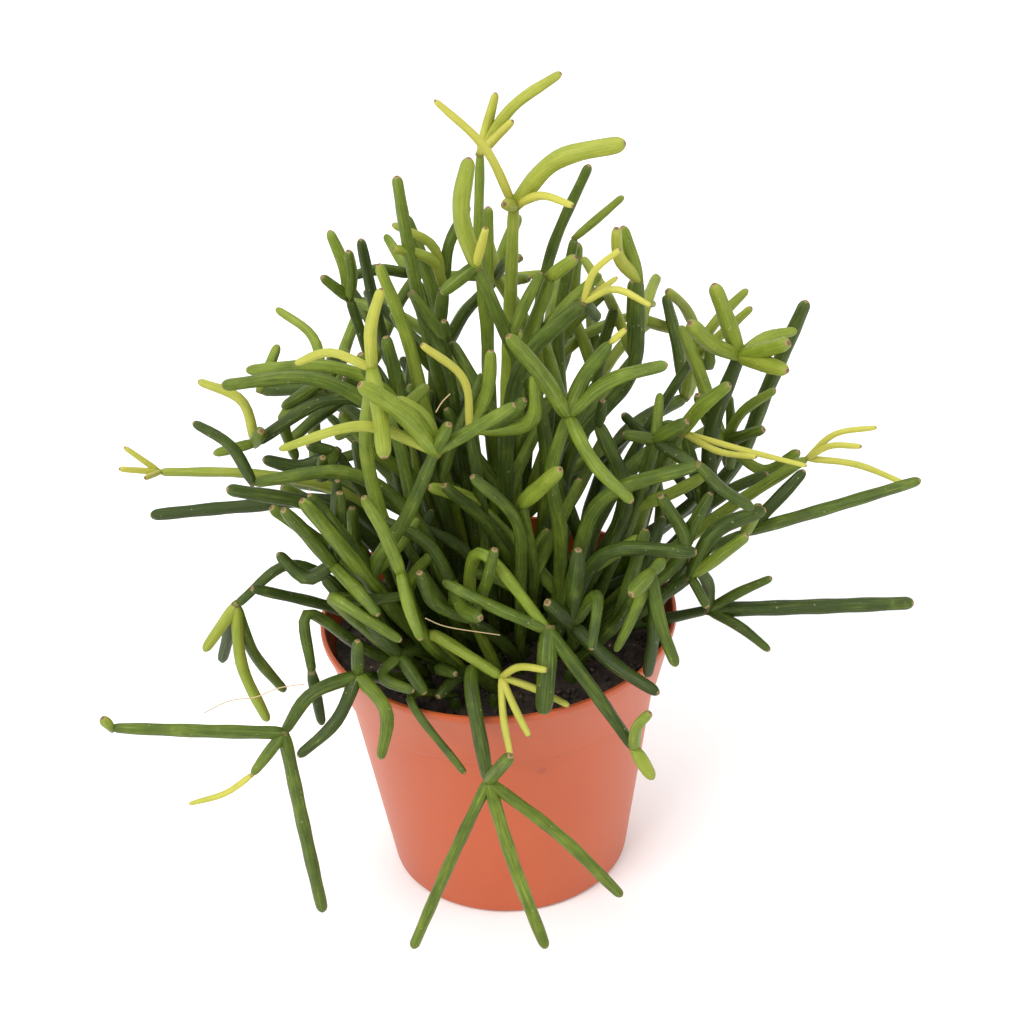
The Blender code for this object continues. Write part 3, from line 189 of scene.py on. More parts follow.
# Every spray's first stem starts at its clump's root. Knots are pixels of the picture.
SPRAYS = {
    "front_fan": Stem([(471, 652), (470, 682), (476, 735), (487, 781)], 66, 1.9, 0.1, [
        Stem([(450, 860), (412, 948)], 79, 1.5, 0.3), Stem([(512, 862), (545, 948)], 81, 1.8, 0.25),
        Stem([(548, 826), (592, 868), (621, 896)], 77, 1.6, 0.3),
        Stem([(495, 765), (510, 755)], 73, 1.7, 0.35)]),
    "front_arch": Stem([(433, 641), (450, 633), (472, 641), (503, 678)], 47, 1.6, 0.35, [
        shoot([(515, 668), (550, 671)], 58, 1.0), shoot([(503, 705), (512, 757)], 62, 1.0),
        shoot([(515, 706), (531, 738)], 60, 1.1), shoot([(535, 689), (571, 707)], 55, 1.0)]),
    "front_paddle": Stem([(452, 560), (490, 565), (508, 572), (530, 603), (545, 632)], 48, 1.8, 0.25, [
        Stem([(543, 672), (540, 717)], 60, 2.5, 0.2),
        Stem([(562, 652), (592, 694), (632, 750)], 62, 1.9, 0.2, [
            Stem([(637, 718), (648, 714)], 68, 1.6, 0.45), Stem([(645, 768), (651, 781)], 66, 1.9, 0.5)]),
        Stem([(443, 581)], 34, 1.6, 0.1)]),
    "front_right": Stem([(574, 640), (568, 624)], 38, 1.9, 0.0, [
        Stem([(553, 613), (541, 603)], 47, 2.4), Stem([(612, 662), (657, 691)], 58, 2.0),
        Stem([(572, 585), (575, 548)], 46, 2.2), Stem([(595, 594), (590, 618), (588, 649)], 55, 1.7)]),
    "right_hem": Stem([(640, 600), (650, 575)], 46, 1.7, 0.1, [
        Stem([(640, 578), (629, 597)], 54, 2.2, 0.25), Stem([(660, 628), (675, 668)], 56, 1.8, 0.15),
        Stem([(663, 561)], 42, 1.8, 0.2), Stem([(627, 628), (613, 655)], 47, 1.6, 0.15),
        Stem([(653, 612), (652, 645), (646, 678)], 40, 1.8)]),
    "right_low": Stem([(650, 622), (690, 614), (708, 610)], 14, 1.6, 0.0, [
        Stem([(740, 592), (772, 578)], 20, 1.6, 0.1),
        Stem([(760, 602), (838, 609), (914, 603)], 24, 2.0, 0.1),
        Stem([(740, 627), (770, 651)], 26, 1.6, 0.15), Stem([(708, 583), (688, 560)], 24, 1.7)]),
    "right_long": Stem([(640, 588), (700, 547), (745, 532)], 12, 1.8, 0.0, [
        Stem([(832, 507), (921, 480)], 18, 1.7, 0.1), Stem([(770, 507), (805, 470)], 6, 2.0),
        Stem([(760, 505)], 20, 1.9, 0.35)]),
    "right_candle": Stem([(690, 535), (730, 508), (775, 482), (807, 459)], 2, 1.9, 0.4, [
        shoot([(840, 432), (877, 428)], 8), shoot([(832, 446), (862, 447)], 14),
        shoot([(850, 463), (905, 484)], 10)]),
    "right_cross": Stem([(690, 535), (703, 460), (716, 395), (737, 355)], -8, 2.1, 0.0, [
        Stem([(725, 318), (712, 283)], -8, 2.2, 0.3), Stem([(712, 345), (688, 322)], 4, 2.2, 0.35),
        Stem([(762, 338), (795, 330)], -14, 1.8, 0.45), Stem([(760, 350), (787, 342)], 6, 2.3, 0.45),
        Stem([(760, 362), (786, 370)], 8, 2.2, 0.45)]),
    "right_spire": Stem([(700, 522), (748, 430), (786, 350), (805, 305)], -30, 2.0, 0.1),
    "right_tuft": Stem([(640, 500), (655, 462), (681, 432)], 8, 2.0, 0.0, [
        Stem([(700, 408), (730, 384)], 14, 2.2, 0.3), Stem([(662, 424)], 2, 2.2, 0.15),
        shoot([(740, 449), (807, 466)], 18), shoot([(720, 452), (757, 457)], 24)]),
    "right_elbow": Stem([(592, 525), (612, 492), (655, 480), (697, 468)], 30, 2.2, 0.1, [
        Stem([(720, 492), (751, 512)], 26, 1.6)]),
    "right_pillar": Stem([(622, 520), (617, 485), (608, 450), (599, 424)], 20, 2.2, 0.1, [
        Stem([(603, 400)], 26, 1.5)]),
    "right_stub": Stem([(690, 542), (672, 515), (661, 494)], 32, 1.9),
    "right_shelf": Stem([(600, 560), (655, 553), (698, 553)], 40, 1.9, 0.1),
    "right_grass": Stem([(640, 440), (690, 360)], -34, 1.6, 0.0, [
        Stem([(716, 320), (746, 290)], -38, 1.5, 0.45), Stem([(735, 322), (750, 308)], -28, 1.4, 0.5),
        Stem([(705, 372), (706, 345)], -24, 1.6, 0.3)]),
    "right_fork": Stem([(690, 500), (716, 430)], -20, 1.7, 0.0, [
        Stem([(735, 400), (768, 378)], -16, 1.4, 0.35), Stem([(757, 418)], -8, 1.7, 0.2),
        Stem([(760, 460), (792, 440)], -10, 1.6, 0.2), Stem([(694, 398), (690, 382)], -10, 1.6, 0.25)]),
    "crown_main": Stem([(505, 470), (508, 330), (512, 255), (513, 206)], -6, 2.1, 0.3, [
        Stem([(492, 160), (465, 124), (434, 100)], 2, 1.2, 0.9),
        Stem([(540, 170), (580, 151), (625, 143)], 2, 2.3, 0.5), shoot([(545, 195), (573, 206)], 10, 1.2),
        Stem([(504, 204)], 2, 1.9, 0.55)]),
    "crown_back": Stem([(486, 420), (474, 260), (476, 155)], -18, 1.6, 0.2, [
        Stem([(477, 118), (492, 94)], -20, 1.4, 0.6), Stem([(513, 104), (558, 74)], -16, 1.6, 0.55),
        shoot([(509, 122)], -10, 1.2)]),
    "crown_ribbed": Stem([(548, 450), (520, 365), (492, 298), (477, 266)], 8, 1.9, 0.1, [
        Stem([(462, 215), (470, 158)], 6, 2.2, 0.35), Stem([(460, 276), (442, 294)], 12, 1.9, 0.15),
        shoot([(487, 228)], 16, 1.3)]),
    "crown_left": Stem([(430, 420), (434, 330), (440, 288)], -22, 2.1, 0.0, [
        Stem([(432, 250), (412, 231), (389, 224)], -24, 1.4, 0.5),
        Stem([(440, 268), (412, 253), (390, 248)], -12, 1.5, 0.4),
        Stem([(447, 240), (466, 205)], -28, 1.7, 0.1)]),
    "crown_spear": Stem([(440, 440), (405, 320), (393, 235), (382, 183)], -16, 1.7, 0.1),
    "crown_shield": Stem([(452, 420), (430, 290), (403, 215)], -40, 1.9, 0.1),
    "crown_twig": Stem([(450, 400), (437, 340), (410, 296)], -8, 1.6, 0.15, [
        Stem([(452, 350), (442, 322)], -2, 1.6)]),
    "crown_tall_a": Stem([(530, 400), (545, 280), (566, 215), (590, 165)], -26, 1.7, 0.1),
    "crown_tall_b": Stem([(560, 420), (558, 300), (574, 238)], -38, 2.0, 0.0, [
        Stem([(600, 216), (623, 196)], -40, 1.2, 0.4)]),
    "crown_bent": Stem([(520, 430), (528, 330), (552, 275)], 2, 2.0, 0.15, [
        Stem([(577, 256)], 6, 2.2, 0.3)]),
    "crown_slim": Stem([(490, 420), (487, 300), (488, 207)], -34, 1.9, 0.3),
    "crown_hook": Stem([(572, 450), (625, 400), (632, 320), (638, 280)], -6, 2.0, 0.0, [
        Stem([(637, 245), (622, 226)], -8, 1.9, 0.25), Stem([(620, 262), (616, 228)], 2, 1.6, 0.65)]),
    "crown_club": Stem([(510, 400), (550, 335), (583, 302)], 16, 2.2, 0.0, [
        shoot([(597, 265), (620, 249)], 20, 1.0), shoot([(618, 289), (651, 306)], 26),
        shoot([(617, 277)], 12), Stem([(597, 318)], 4, 1.6)]),
    "heart_cross": Stem([(560, 560), (548, 450), (567, 416)], 34, 2.0, 0.1, [
        Stem([(533, 365), (507, 336)], 44, 2.0, 0.2), Stem([(615, 378), (667, 365)], 40, 1.8, 0.15),
        Stem([(585, 455), (612, 480), (632, 503)], 56, 1.7, 0.2),
        Stem([(585, 375), (610, 343)], 34, 2.1, 0.1, [
            shoot([(626, 329)], 36)])]),
    "heart_diagonal": Stem([(522, 585), (505, 545), (478, 515), (443, 484)], 30, 1.7, 0.1),
    "heart_hook": Stem([(522, 588), (519, 520), (513, 482), (498, 469), (474, 474)], 40, 1.7, 0.1),
    "heart_bright": Stem([(535, 560), (521, 505)], 30, 1.7, 0.1, [
        Stem([(560, 470)], 46, 2.1, 0.35)]),
    "heart_node": Stem([(400, 640), (372, 583), (402, 528), (437, 448)], 44, 1.9, 0.2, [
        Stem([(400, 408), (359, 382)], 52, 2.5, 0.3), Stem([(430, 421), (396, 396)], 42, 2.0, 0.3),
        Stem([(480, 424), (517, 402)], 54, 1.7, 0.1), Stem([(451, 421)], 50, 1.7, 0.15),
        Stem([(395, 425), (340, 425), (281, 446)], 54, 1.5, 0.7)]),
    "heart_pair": Stem([(505, 520), (513, 425)], 2, 2.2, 0.1),
    "heart_warty": Stem([(470, 640), (458, 575)], 30, 1.6, 0.0, [
        Stem([(470, 596), (489, 603)], 46, 2.0, 0.15), Stem([(450, 555), (418, 522), (387, 510)], 26, 1.6)]),
    "left_bright": Stem([(417, 625), (401, 571)], 44, 1.9, 0.1, [
        Stem([(390, 542), (364, 496)], 50, 1.9, 0.3), Stem([(408, 602), (422, 640)], 58, 1.6, 0.25)]),
    "left_blade_a": Stem([(388, 612), (342, 558), (297, 505)], 44, 2.0, 0.2),
    "left_blade_b": Stem([(375, 600), (335, 572), (262, 521)], 34, 1.8, 0.2),
    "left_ribbon": Stem([(372, 470), (374, 368)], 34, 1.9, 0.3, [
        Stem([(373, 322), (383, 288)], 34, 1.6, 0.6),
        Stem([(347, 357), (320, 350), (297, 363)], 28, 1.2, 0.75),
        Stem([(383, 420), (386, 458)], 56, 2.0, 0.4)]),
    "left_rail_a": Stem([(400, 400), (350, 369), (300, 367), (247, 369)], -2, 2.0, 0.2),
    "left_rail_b": Stem([(400, 440), (350, 384), (290, 381), (225, 385)], 14, 2.0, 0.25),
    "left_rail_c": Stem([(400, 420), (330, 393), (265, 391)], -16, 1.8, 0.0, [
        Stem([(283, 345)], -22, 1.6, 0.3)]),
    "left_rail_d": Stem([(420, 460), (372, 392), (320, 408), (283, 427), (254, 446)], 6, 1.9, 0.0, [
        Stem([(212, 457)], 10, 1.6, 0.25), Stem([(260, 434)], 12, 2.1, 0.2),
        Stem([(240, 403), (197, 384)], 2, 1.3, 0.75)]),
    "left_rail_e": Stem([(400, 500), (330, 469), (250, 479)], 26, 2.0, 0.1, [
        Stem([(220, 433), (190, 419)], 22, 1.5)]),
    "left_candle": Stem([(380, 520), (300, 476), (230, 475), (160, 472)], -4, 1.6, 0.4, [
        shoot([(124, 447)], -4), shoot([(119, 469)], 2), shoot([(145, 478)], 6)]),
    "left_bar": Stem([(390, 545), (330, 500), (268, 505), (150, 516)], 4, 1.8),
    "left_thumb": Stem([(390, 560), (320, 508), (226, 490)], 16, 2.0, 0.1),
    "left_steep_a": Stem([(400, 440), (362, 350), (347, 300)], -26, 1.8, 0.0, [
        Stem([(340, 262), (327, 232)], -30, 1.7, 0.15), Stem([(350, 275), (346, 252)], -20, 1.6, 0.25),
        Stem([(319, 278)], -24, 1.6, 0.2)]),
    "left_steep_b": Stem([(415, 430), (376, 310), (362, 239)], -42, 1.8),
    "left_steep_c": Stem([(420, 440), (392, 330), (366, 266)], -8, 2.0, 0.3),
    "left_curl": Stem([(345, 590), (300, 567), (262, 560), (236, 605)], 24, 1.7, 0.0, [
        Stem([(216, 624), (204, 651)], 28, 1.6, 0.6), Stem([(242, 665), (268, 721)], 32, 1.6, 0.55),
        Stem([(258, 662), (285, 691)], 22, 1.6, 0.2), Stem([(222, 661)], 14, 1.7)]),
    "left_twins": Stem([(345, 612), (295, 594), (251, 588)], 30, 1.6, 0.05),
    "left_drop": Stem([(370, 680), (360, 675)], 50, 1.7, 0.0, [
        Stem([(325, 688), (296, 707), (285, 733)], 58, 1.8, 0.1, [
            Stem([(200, 731), (112, 728)], 58, 1.8, 0.25, [
                Stem([(103, 718)], 60, 1.7, 0.5)]),
            Stem([(270, 750), (253, 775)], 64, 1.6, 0.2, [
                shoot([(245, 787), (190, 804)], 66)]),
            Stem([(292, 775), (308, 840), (324, 912)], 66, 1.8, 0.2)]),
        Stem([(338, 722), (300, 757)], 62, 1.9, 0.05), Stem([(388, 708), (383, 760)], 64, 1.9, 0.25),
        Stem([(360, 640)], 52, 1.7, 0.05)]),
    "left_loop": Stem([(335, 635), (302, 612), (288, 638), (312, 673)], 44, 1.6, 0.1, [
        Stem([(317, 700), (322, 725)], 46, 1.6)]),
    "left_finger": Stem([(335, 595), (365, 617), (402, 637)], 50, 1.9, 0.15),
    "front_tangle": Stem([(405, 640), (398, 655)], 40, 1.7, 0.0, [
        Stem([(384, 652), (366, 622)], 44, 1.7, 0.1), Stem([(412, 668), (424, 694)], 48, 1.7, 0.1),
        Stem([(375, 672), (412, 691)], 52, 1.6, 0.15)]),
    "front_snail": Stem([(440, 668), (452, 662), (461, 675)], 46, 1.8, 0.1),
    "front_grey": Stem([(452, 678), (442, 700), (431, 706)], 46, 1.9),
    "left_rungs": Stem([(345, 572), (338, 560)], 34, 1.9, 0.0, [
        Stem([(324, 543), (288, 505)], 46, 2.1, 0.2), Stem([(362, 582), (386, 610)], 50, 1.9, 0.2),
        Stem([(343, 520), (343, 487)], 34, 1.8), Stem([(318, 577), (282, 549)], 32, 1.9, 0.05)]),
    "left_ladder": Stem([(352, 470), (336, 455)], 10, 1.7, 0.0, [
        Stem([(320, 438), (306, 448)], 12, 1.6, 0.1), Stem([(322, 482), (323, 464)], 26, 1.8, 0.1),
        Stem([(296, 470), (262, 462)], 12, 1.8)]),
    "left_feather": Stem([(390, 420), (350, 392), (331, 403)], 4, 1.7, 0.0, [
        Stem([(318, 340), (283, 318)], -14, 1.4, 0.35),
        Stem([(300, 412), (290, 440), (303, 470)], 4, 1.7, 0.15)]),
    "right_rungs": Stem([(668, 592), (690, 575)], 28, 1.8, 0.0, [
        Stem([(718, 556), (747, 534)], 32, 1.7, 0.2), Stem([(715, 530), (765, 508)], 24, 2.1, 0.1),
        Stem([(700, 566), (707, 607)], 36, 1.5, 0.1)]),
    "right_cloud": Stem([(650, 470), (655, 440)], 16, 1.8, 0.0, [
        Stem([(640, 430), (622, 434)], 16, 1.8, 0.1), Stem([(672, 425), (688, 421)], 20, 2.0, 0.15),
        Stem([(664, 455), (700, 470)], 26, 1.8), Stem([(645, 408), (660, 393)], 6, 1.5, 0.25)]),
    "heart_shoots": Stem([(478, 470), (470, 430)], 24, 1.7, 0.0, [
        shoot([(460, 370), (421, 345)], 34, 1.1), Stem([(490, 385), (491, 351)], 24, 1.8, 0.25),
        Stem([(528, 425), (536, 376)], 34, 2.0, 0.35), Stem([(505, 420), (526, 400)], 32, 1.7, 0.1)]),
    "heart_low": Stem([(500, 640), (470, 615)], 36, 1.7, 0.0, [
        Stem([(440, 600), (420, 565)], 46, 1.8, 0.1), Stem([(488, 580), (500, 540)], 44, 1.7, 0.05)]),
    "front_thread": Stem([(412, 690), (407, 722), (430, 762), (463, 789)], 66, 1.2, 0.1),
}


def sight_axes():
    """The eye and the picture's forward, right and up directions, in millimetres."""
    tilt, roll = math.radians(EYE_ELEVATION), math.radians(EYE_ROLL)
    ahead = Vector((0.0, math.cos(tilt), -math.sin(tilt)))
    level, rise = Vector((1.0, 0.0, 0.0)), Vector((0.0, math.sin(tilt), math.cos(tilt)))
    right = level * math.cos(roll) + rise * math.sin(roll)
    up = rise * math.cos(roll) - level * math.sin(roll)
    eye = Vector((TARGET_ACROSS, 0.0, TARGET_HEIGHT)) - ahead * EYE_DISTANCE
    return eye, ahead, right, up


EYE, AHEAD, RIGHT, UP = sight_axes()


def sight(across, down, forward):
    """The point seen at a pixel, at a given distance in front of the pot's axis."""
    ray = AHEAD + RIGHT * (across - FRAME_CENTRE) / FOCAL + UP * (FRAME_CENTRE - down) / FOCAL
    return EYE + ray * ((-forward - EYE.y) / ray.y)


def pixel(point):
    """Where a point shows in the picture."""
    away = Vector(point) - EYE
    reach = FOCAL / away.dot(AHEAD)
    return FRAME_CENTRE + away.dot(RIGHT) * reach, FRAME_CENTRE - away.dot(UP) * reach


def screened(point):
    """Whether the front sprays hide a point from the picture's eye."""
    across, down = pixel(point)
    inside = False
    for (x0, y0), (x1, y1) in zip(SCREEN, SCREEN[1:] + SCREEN[:1]):
        if (y0 > down) != (y1 > down) and across < x0 + (x1 - x0) * (down - y0) / (y1 - y0):
            inside = not inside
    return inside


def smooth_path(corners, spacing):
    """Points at even steps along a smooth curve through the corners, without the first corner."""
    corners = [Vector(c) for c in corners]
    ends = [corners[0] * 2 - corners[1]] + corners + [corners[-1] * 2 - corners[-2]]
    fine = [corners[0]]
    for a, b, c, d in zip(ends, ends[1:], ends[2:], ends[3:]):
        for step in range(1, CURVE_STEPS + 1):
            t = step / CURVE_STEPS
            fine.append(0.5 * (2 * b + (c - a) * t + (2 * a - 5 * b + 4 * c - d) * t * t
                               + (3 * b - a - 3 * c + d) * t ** 3))
    lengths = np.cumsum([0.0] + [(q - p).length for p, q in zip(fine, fine[1:])])
    fewest = 1 if lengths[-1] < SHORT_LIMB * spacing else 2
    count = max(fewest, round(lengths[-1] / spacing))
    marks = np.linspace(0.0, lengths[-1], count + 1)[1:]
    table = np.array(fine)
    return np.stack([np.interp(marks, lengths, table[:, axis]) for axis in range(3)], axis=1)


def splay(along, turn, amount):
    """A direction that leans away from a line, turned round it."""
    across = along.orthogonal().normalized()
    lean = across * math.cos(turn) + along.cross(across) * math.sin(turn)
    return (along + lean * amount).normalized()


def bent_twig(start, heading, length, droop):
    """A twig's middle and end, and the direction of its outer half, which rises or falls."""
    middle = start + heading * length * 0.5
    onward = (heading + Vector((0.0, 0.0, droop))).normalized()
    return middle, middle + onward * length * 0.5, onward


class Plant:
    """All the clumps: one table of points, which of them stay put, and the limbs that run through it."""

    def __init__(self):
        self.points = []
        self.limbs = []
        self.fixed = []
        self.twigs = random.Random(FILL_SEED + 1)

    def add(self, first, corners, radius, age, clump):
        """Grow a limb from a point that is already there and give back its far end."""
        rows = [first]
        for point in smooth_path([self.points[first]] + list(corners), KNOT_SPACING):
            rows.append(len(self.points))
            self.points.append(point)
            self.fixed.append(0.0)
        self.limbs.append(Limb(rows, radius, age, clump))
        return rows[-1]

    def root(self, across, forward, clump):
        """Stand a clump's short basal stem in the soil and give back its top."""
        foot = len(self.points)
        self.points.append(np.array((across, -forward, SOIL_TOP - ROOT_DEPTH)))
        self.points.append(np.array((across, -forward, SOIL_TOP + BASAL_HEIGHT)))
        self.fixed += [1.0, 1.0]
        self.limbs.append(Limb([foot, foot + 1], BASAL_RADIUS, 0.0, clump))
        return foot + 1

    def side_twigs(self, clump):
        """Short twigs from the joints along the trunk that was just grown, behind the traced stems."""
        trunk = self.limbs[-1]
        for row, beyond in list(zip(trunk.rows, trunk.rows[1:]))[1:]:
            start = Vector(self.points[row])
            along = (Vector(self.points[beyond]) - start).normalized()
            turn = self.twigs.uniform(0.0, math.tau)
            for number in range(TWIGS_AT_JOINT):
                swing = turn + number * math.tau / TWIGS_AT_JOINT + self.twigs.uniform(-TWIG_TURN, TWIG_TURN)
                heading = splay(along, swing, self.twigs.uniform(*TWIG_SPLAY))
                length, droop = self.twigs.uniform(*TWIG_LENGTH), self.twigs.uniform(*TWIG_DROOP)
                middle, end, _ = bent_twig(start, heading, length, droop)
                ahead = max(start.y - TWIG_FORWARD, TWIG_FRONT)
                clear = screened(end) and end.z > POT_HEIGHT + TWIG_RISE and ahead < end.y < FILL_REACH
                if self.twigs.random() < TWIG_SHARE and clear:
                    radius, age = self.twigs.uniform(*TWIG_RADIUS), self.twigs.uniform(*TWIG_AGE)
                    self.add(row, [middle, end], radius, age, clump)

    def trace(self, first, stem, clump):
        """Grow a traced stem and its buds, the depth running evenly from its joint to its far end."""
        start = self.points[first]
        trail = [pixel(start)] + stem.knots
        run = np.cumsum([0.0] + [math.dist(p, q) for p, q in zip(trail, trail[1:])])
        depths = np.interp(run, (0.0, run[-1]), (-start[1], stem.forward))
        corners = [sight(x, y, depth) for (x, y), depth in zip(stem.knots, depths[1:])]
        tip = self.add(first, corners, stem.radius, stem.age, clump)
        if start[2] < SOIL_TOP + BASAL_HEIGHT + 1:
            self.side_twigs(clump)
        for bud in stem.buds:
            self.trace(tip, bud, clump)


def first_roots():
    """Where each traced spray would leave the soil: well inside the pot, on its own side."""
    roots = {}
    for name, stem in SPRAYS.items():
        depth = ROOT_FORWARD * stem.forward
        point = sight(*stem.knots[0], depth)
        place = Vector((ROOT_SIDE * point.x, ROOT_INWARD * depth))
        if place.length > ROOT_REACH:
            place *= ROOT_REACH / place.length
        roots[name] = place
    return roots


def fill_roots(rng):
    """Roots for the sprays that the front ones hide, over the middle and the far side."""
    roots = {}
    for number in range(FILL_SPRAYS):
        angle = math.pi * (FILL_START + FILL_SPAN * (number + rng.uniform(*FILL_PLACE)) / FILL_SPRAYS)
        reach = ROOT_REACH * FILL_CIRCLES[number % 2]
        roots[f"back_{number:02d}"] = Vector((reach * math.cos(angle), -reach * math.sin(angle)))
    return roots


def share_roots(roots):
    """Join the nearest sprays into clumps until there are few enough, then space the clumps out."""
    clumps = [([name], place.copy()) for name, place in roots.items()]
    while len(clumps) > MOST_CLUMPS:
        best = min(((a, b) for a in range(len(clumps)) for b in range(a + 1, len(clumps))
                    if len(clumps[a][0]) + len(clumps[b][0]) <= MOST_SPRAYS),
                   key=lambda pair: (clumps[pair[0]][1] - clumps[pair[1]][1]).length)
        joined = clumps.pop(best[1])
        names, place = clumps[best[0]]
        clumps[best[0]] = (names + joined[0], (place + joined[1]) / 2)
    for _ in range(ROOT_ROUNDS):
        for a in range(len(clumps)):
            for b in range(a + 1, len(clumps)):
                apart = clumps[a][1] - clumps[b][1]
                lack = ROOT_SPACING - apart.length
                if lack > 0:
                    step = apart.normalized() * (ROOT_EASE * lack)
                    clumps[a][1].xy += step
                    clumps[b][1].xy -= step
            if clumps[a][1].length > ROOT_REACH:
                clumps[a][1].xy *= ROOT_REACH / clumps[a][1].length
    return clumps


def grow_fill(plant, first, clump, rng):
    """A hidden spray: a stem out and up, a whorl at its tip, and shorter stems at some of theirs."""
    start = Vector(plant.points[first])
    side = math.atan2(start.y, start.x) + rng.uniform(-FILL_TURN, FILL_TURN)
    lift = rng.uniform(*FILL_LIFT)
    for reach in (rng.uniform(*FILL_LENGTH), *SHORTER_LENGTHS):
        out = Vector((math.cos(side) * math.cos(lift), math.sin(side) * math.cos(lift), math.sin(lift)))
        if screened(start + out * reach):
            break
    bend = start + Vector((out.x * BEND_OUT, out.y * BEND_OUT, BEND_UP)) * reach
    tip = plant.add(first, [bend, start + out * reach], rng.uniform(*FILL_RADIUS), FILL_AGE, clump)
    turn = rng.uniform(0.0, math.tau)
    for number in range(WHORL):
        grow_twig(plant, tip, out, turn + number * math.tau / WHORL, clump, rng, 1)


def grow_twig(plant, first, along, turn, clump, rng, order):
    """One stem of a whorl, splayed from its parent's line and drooping as it reaches outward."""
    heading = splay(along, turn, rng.uniform(*WHORL_SPLAY))
    length = rng.uniform(*WHORL_LENGTH) / order ** WHORL_SHORTENING
    middle, end, heading = bent_twig(Vector(plant.points[first]), heading, length, WHORL_DROOP)
    if not screened(end) or end.z < POT_HEIGHT + FILL_RISE or end.y < FILL_FRONT or end.y > FILL_REACH:
        return
    radius = rng.uniform(*WHORL_RADIUS) - WHORL_THINNING * order
    tip = plant.add(first, [middle, end], radius, rng.uniform(*WHORL_AGE), clump)
    if order == 1 and rng.random() < SECOND_SHARE:
        for number in range(SECOND_WHORL):
            onward = turn + SECOND_TURN + number * math.tau / SECOND_WHORL
            grow_twig(plant, tip, heading, onward, clump, rng, 2)


def grow_plant():
    """The whole plant as it first grows, before its stems are bent clear of each other."""
    rng = random.Random(FILL_SEED)
    roots = first_roots()
    roots.update(fill_roots(rng))
    plant = Plant()
    names = []
    for number, (members, place) in enumerate(share_roots(roots)):
        top = plant.root(place.x, place.y, number)
        names.append(members[0])
        for member in members:
            if member in SPRAYS:
                plant.trace(top, SPRAYS[member], number)
            else:
                grow_fill(plant, top, number, rng)
    plant.points = np.array(plant.points)
    return plant, names


def edge_table(plant):
    """Every limb's edges as rows: both ends, radius and clump."""
    rows = [(a, b, limb.radius, limb.clump)
            for limb in plant.limbs for a, b in zip(limb.rows, limb.rows[1:])]
    ends = np.array([row[:2] for row in rows])
    return ends, np.array([row[2] for row in rows]), np.array([row[3] for row in rows])


def nearest_on_edges(points, ends, first, second):
    """For pairs of edges, how far along each the closest points lie, and the vector between them."""
    p, q = points[ends[first, 0]], points[ends[second, 0]]
    u, v = points[ends[first, 1]] - p, points[ends[second, 1]] - q
    w = p - q
    a, b, c = (u * u).sum(1), (u * v).sum(1), (v * v).sum(1)
    d, e = (u * w).sum(1), (v * w).sum(1)
    s = np.clip((b * e - c * d) / np.maximum(a * c - b * b, 1e-9), 0.0, 1.0)
    t = np.clip((b * s + e) / c, 0.0, 1.0)
    s = np.clip((b * t - d) / a, 0.0, 1.0)
    return s, t, w + u * s[:, None] - v * t[:, None]


def near_pairs(points, ends, clumps):
    """Pairs of edges of different clumps that lie close enough to matter."""
    middle = points[ends].mean(1)
    half = np.linalg.norm(points[ends[:, 0]] - points[ends[:, 1]], axis=1) / 2
    first, second = np.triu_indices(len(ends), 1)
    other = clumps[first] != clumps[second]
    first, second = first[other], second[other]
    gap = np.linalg.norm(middle[first] - middle[second], axis=1) - half[first] - half[second]
    return first[gap < NEAR_GAP], second[gap < NEAR_GAP]


def spread(push, weight, rows, moves, share):
    """Share out moves to the rows they act on."""
    np.add.at(push, rows, moves * share[:, None])
    np.add.at(weight, rows, share)


def pot_push(place, radius):
    """How far a ball on a stem must move to stay clear of the soil, the rim and the pot's side."""
    out = np.linalg.norm(place[:, :2], axis=1)
    lane = place[:, :2] / np.maximum(out, 1e-6)[:, None]
    move = np.zeros_like(place)
    need = radius + POT_GAP
    lip = LIP_WIDTH / 2
    side = FOOT_RADIUS + (RIM_RADIUS - FOOT_RADIUS) * np.clip(place[:, 2] / POT_HEIGHT, 0.0, 1.0)
    side = np.where(place[:, 2] > COLLAR_FOOT - COLLAR_GUARD, RIM_RADIUS, side)
    over = np.abs(out - RIM_RADIUS + lip) < lip + need
    rise = POT_HEIGHT + need - place[:, 2]
    outside = out > RIM_RADIUS - lip
    lift = over & (rise > 0) & (rise < LIFT_REACH)
    move[:, 2] = np.where(lift, rise * 0.5, 0.0)
    shove = np.where(outside & (place[:, 2] < POT_HEIGHT), np.maximum(side + need - out, 0.0), 0.0)
    shove -= np.where(~outside & (rise > 0), np.maximum(out + need - RIM_RADIUS + LIP_WIDTH, 0.0), 0.0)
    move[:, :2] += lane * shove[:, None] * 0.5
    sunk = SOIL_TOP + SOIL_ROUGHNESS + need - place[:, 2]
    move[:, 2] += np.where(~outside & (sunk > 0), sunk * 0.5, 0.0)
    low = FLOOR_CLEARANCE - place[:, 2]
    move[:, 2] += np.where(low > 0, low, 0.0)
    return move


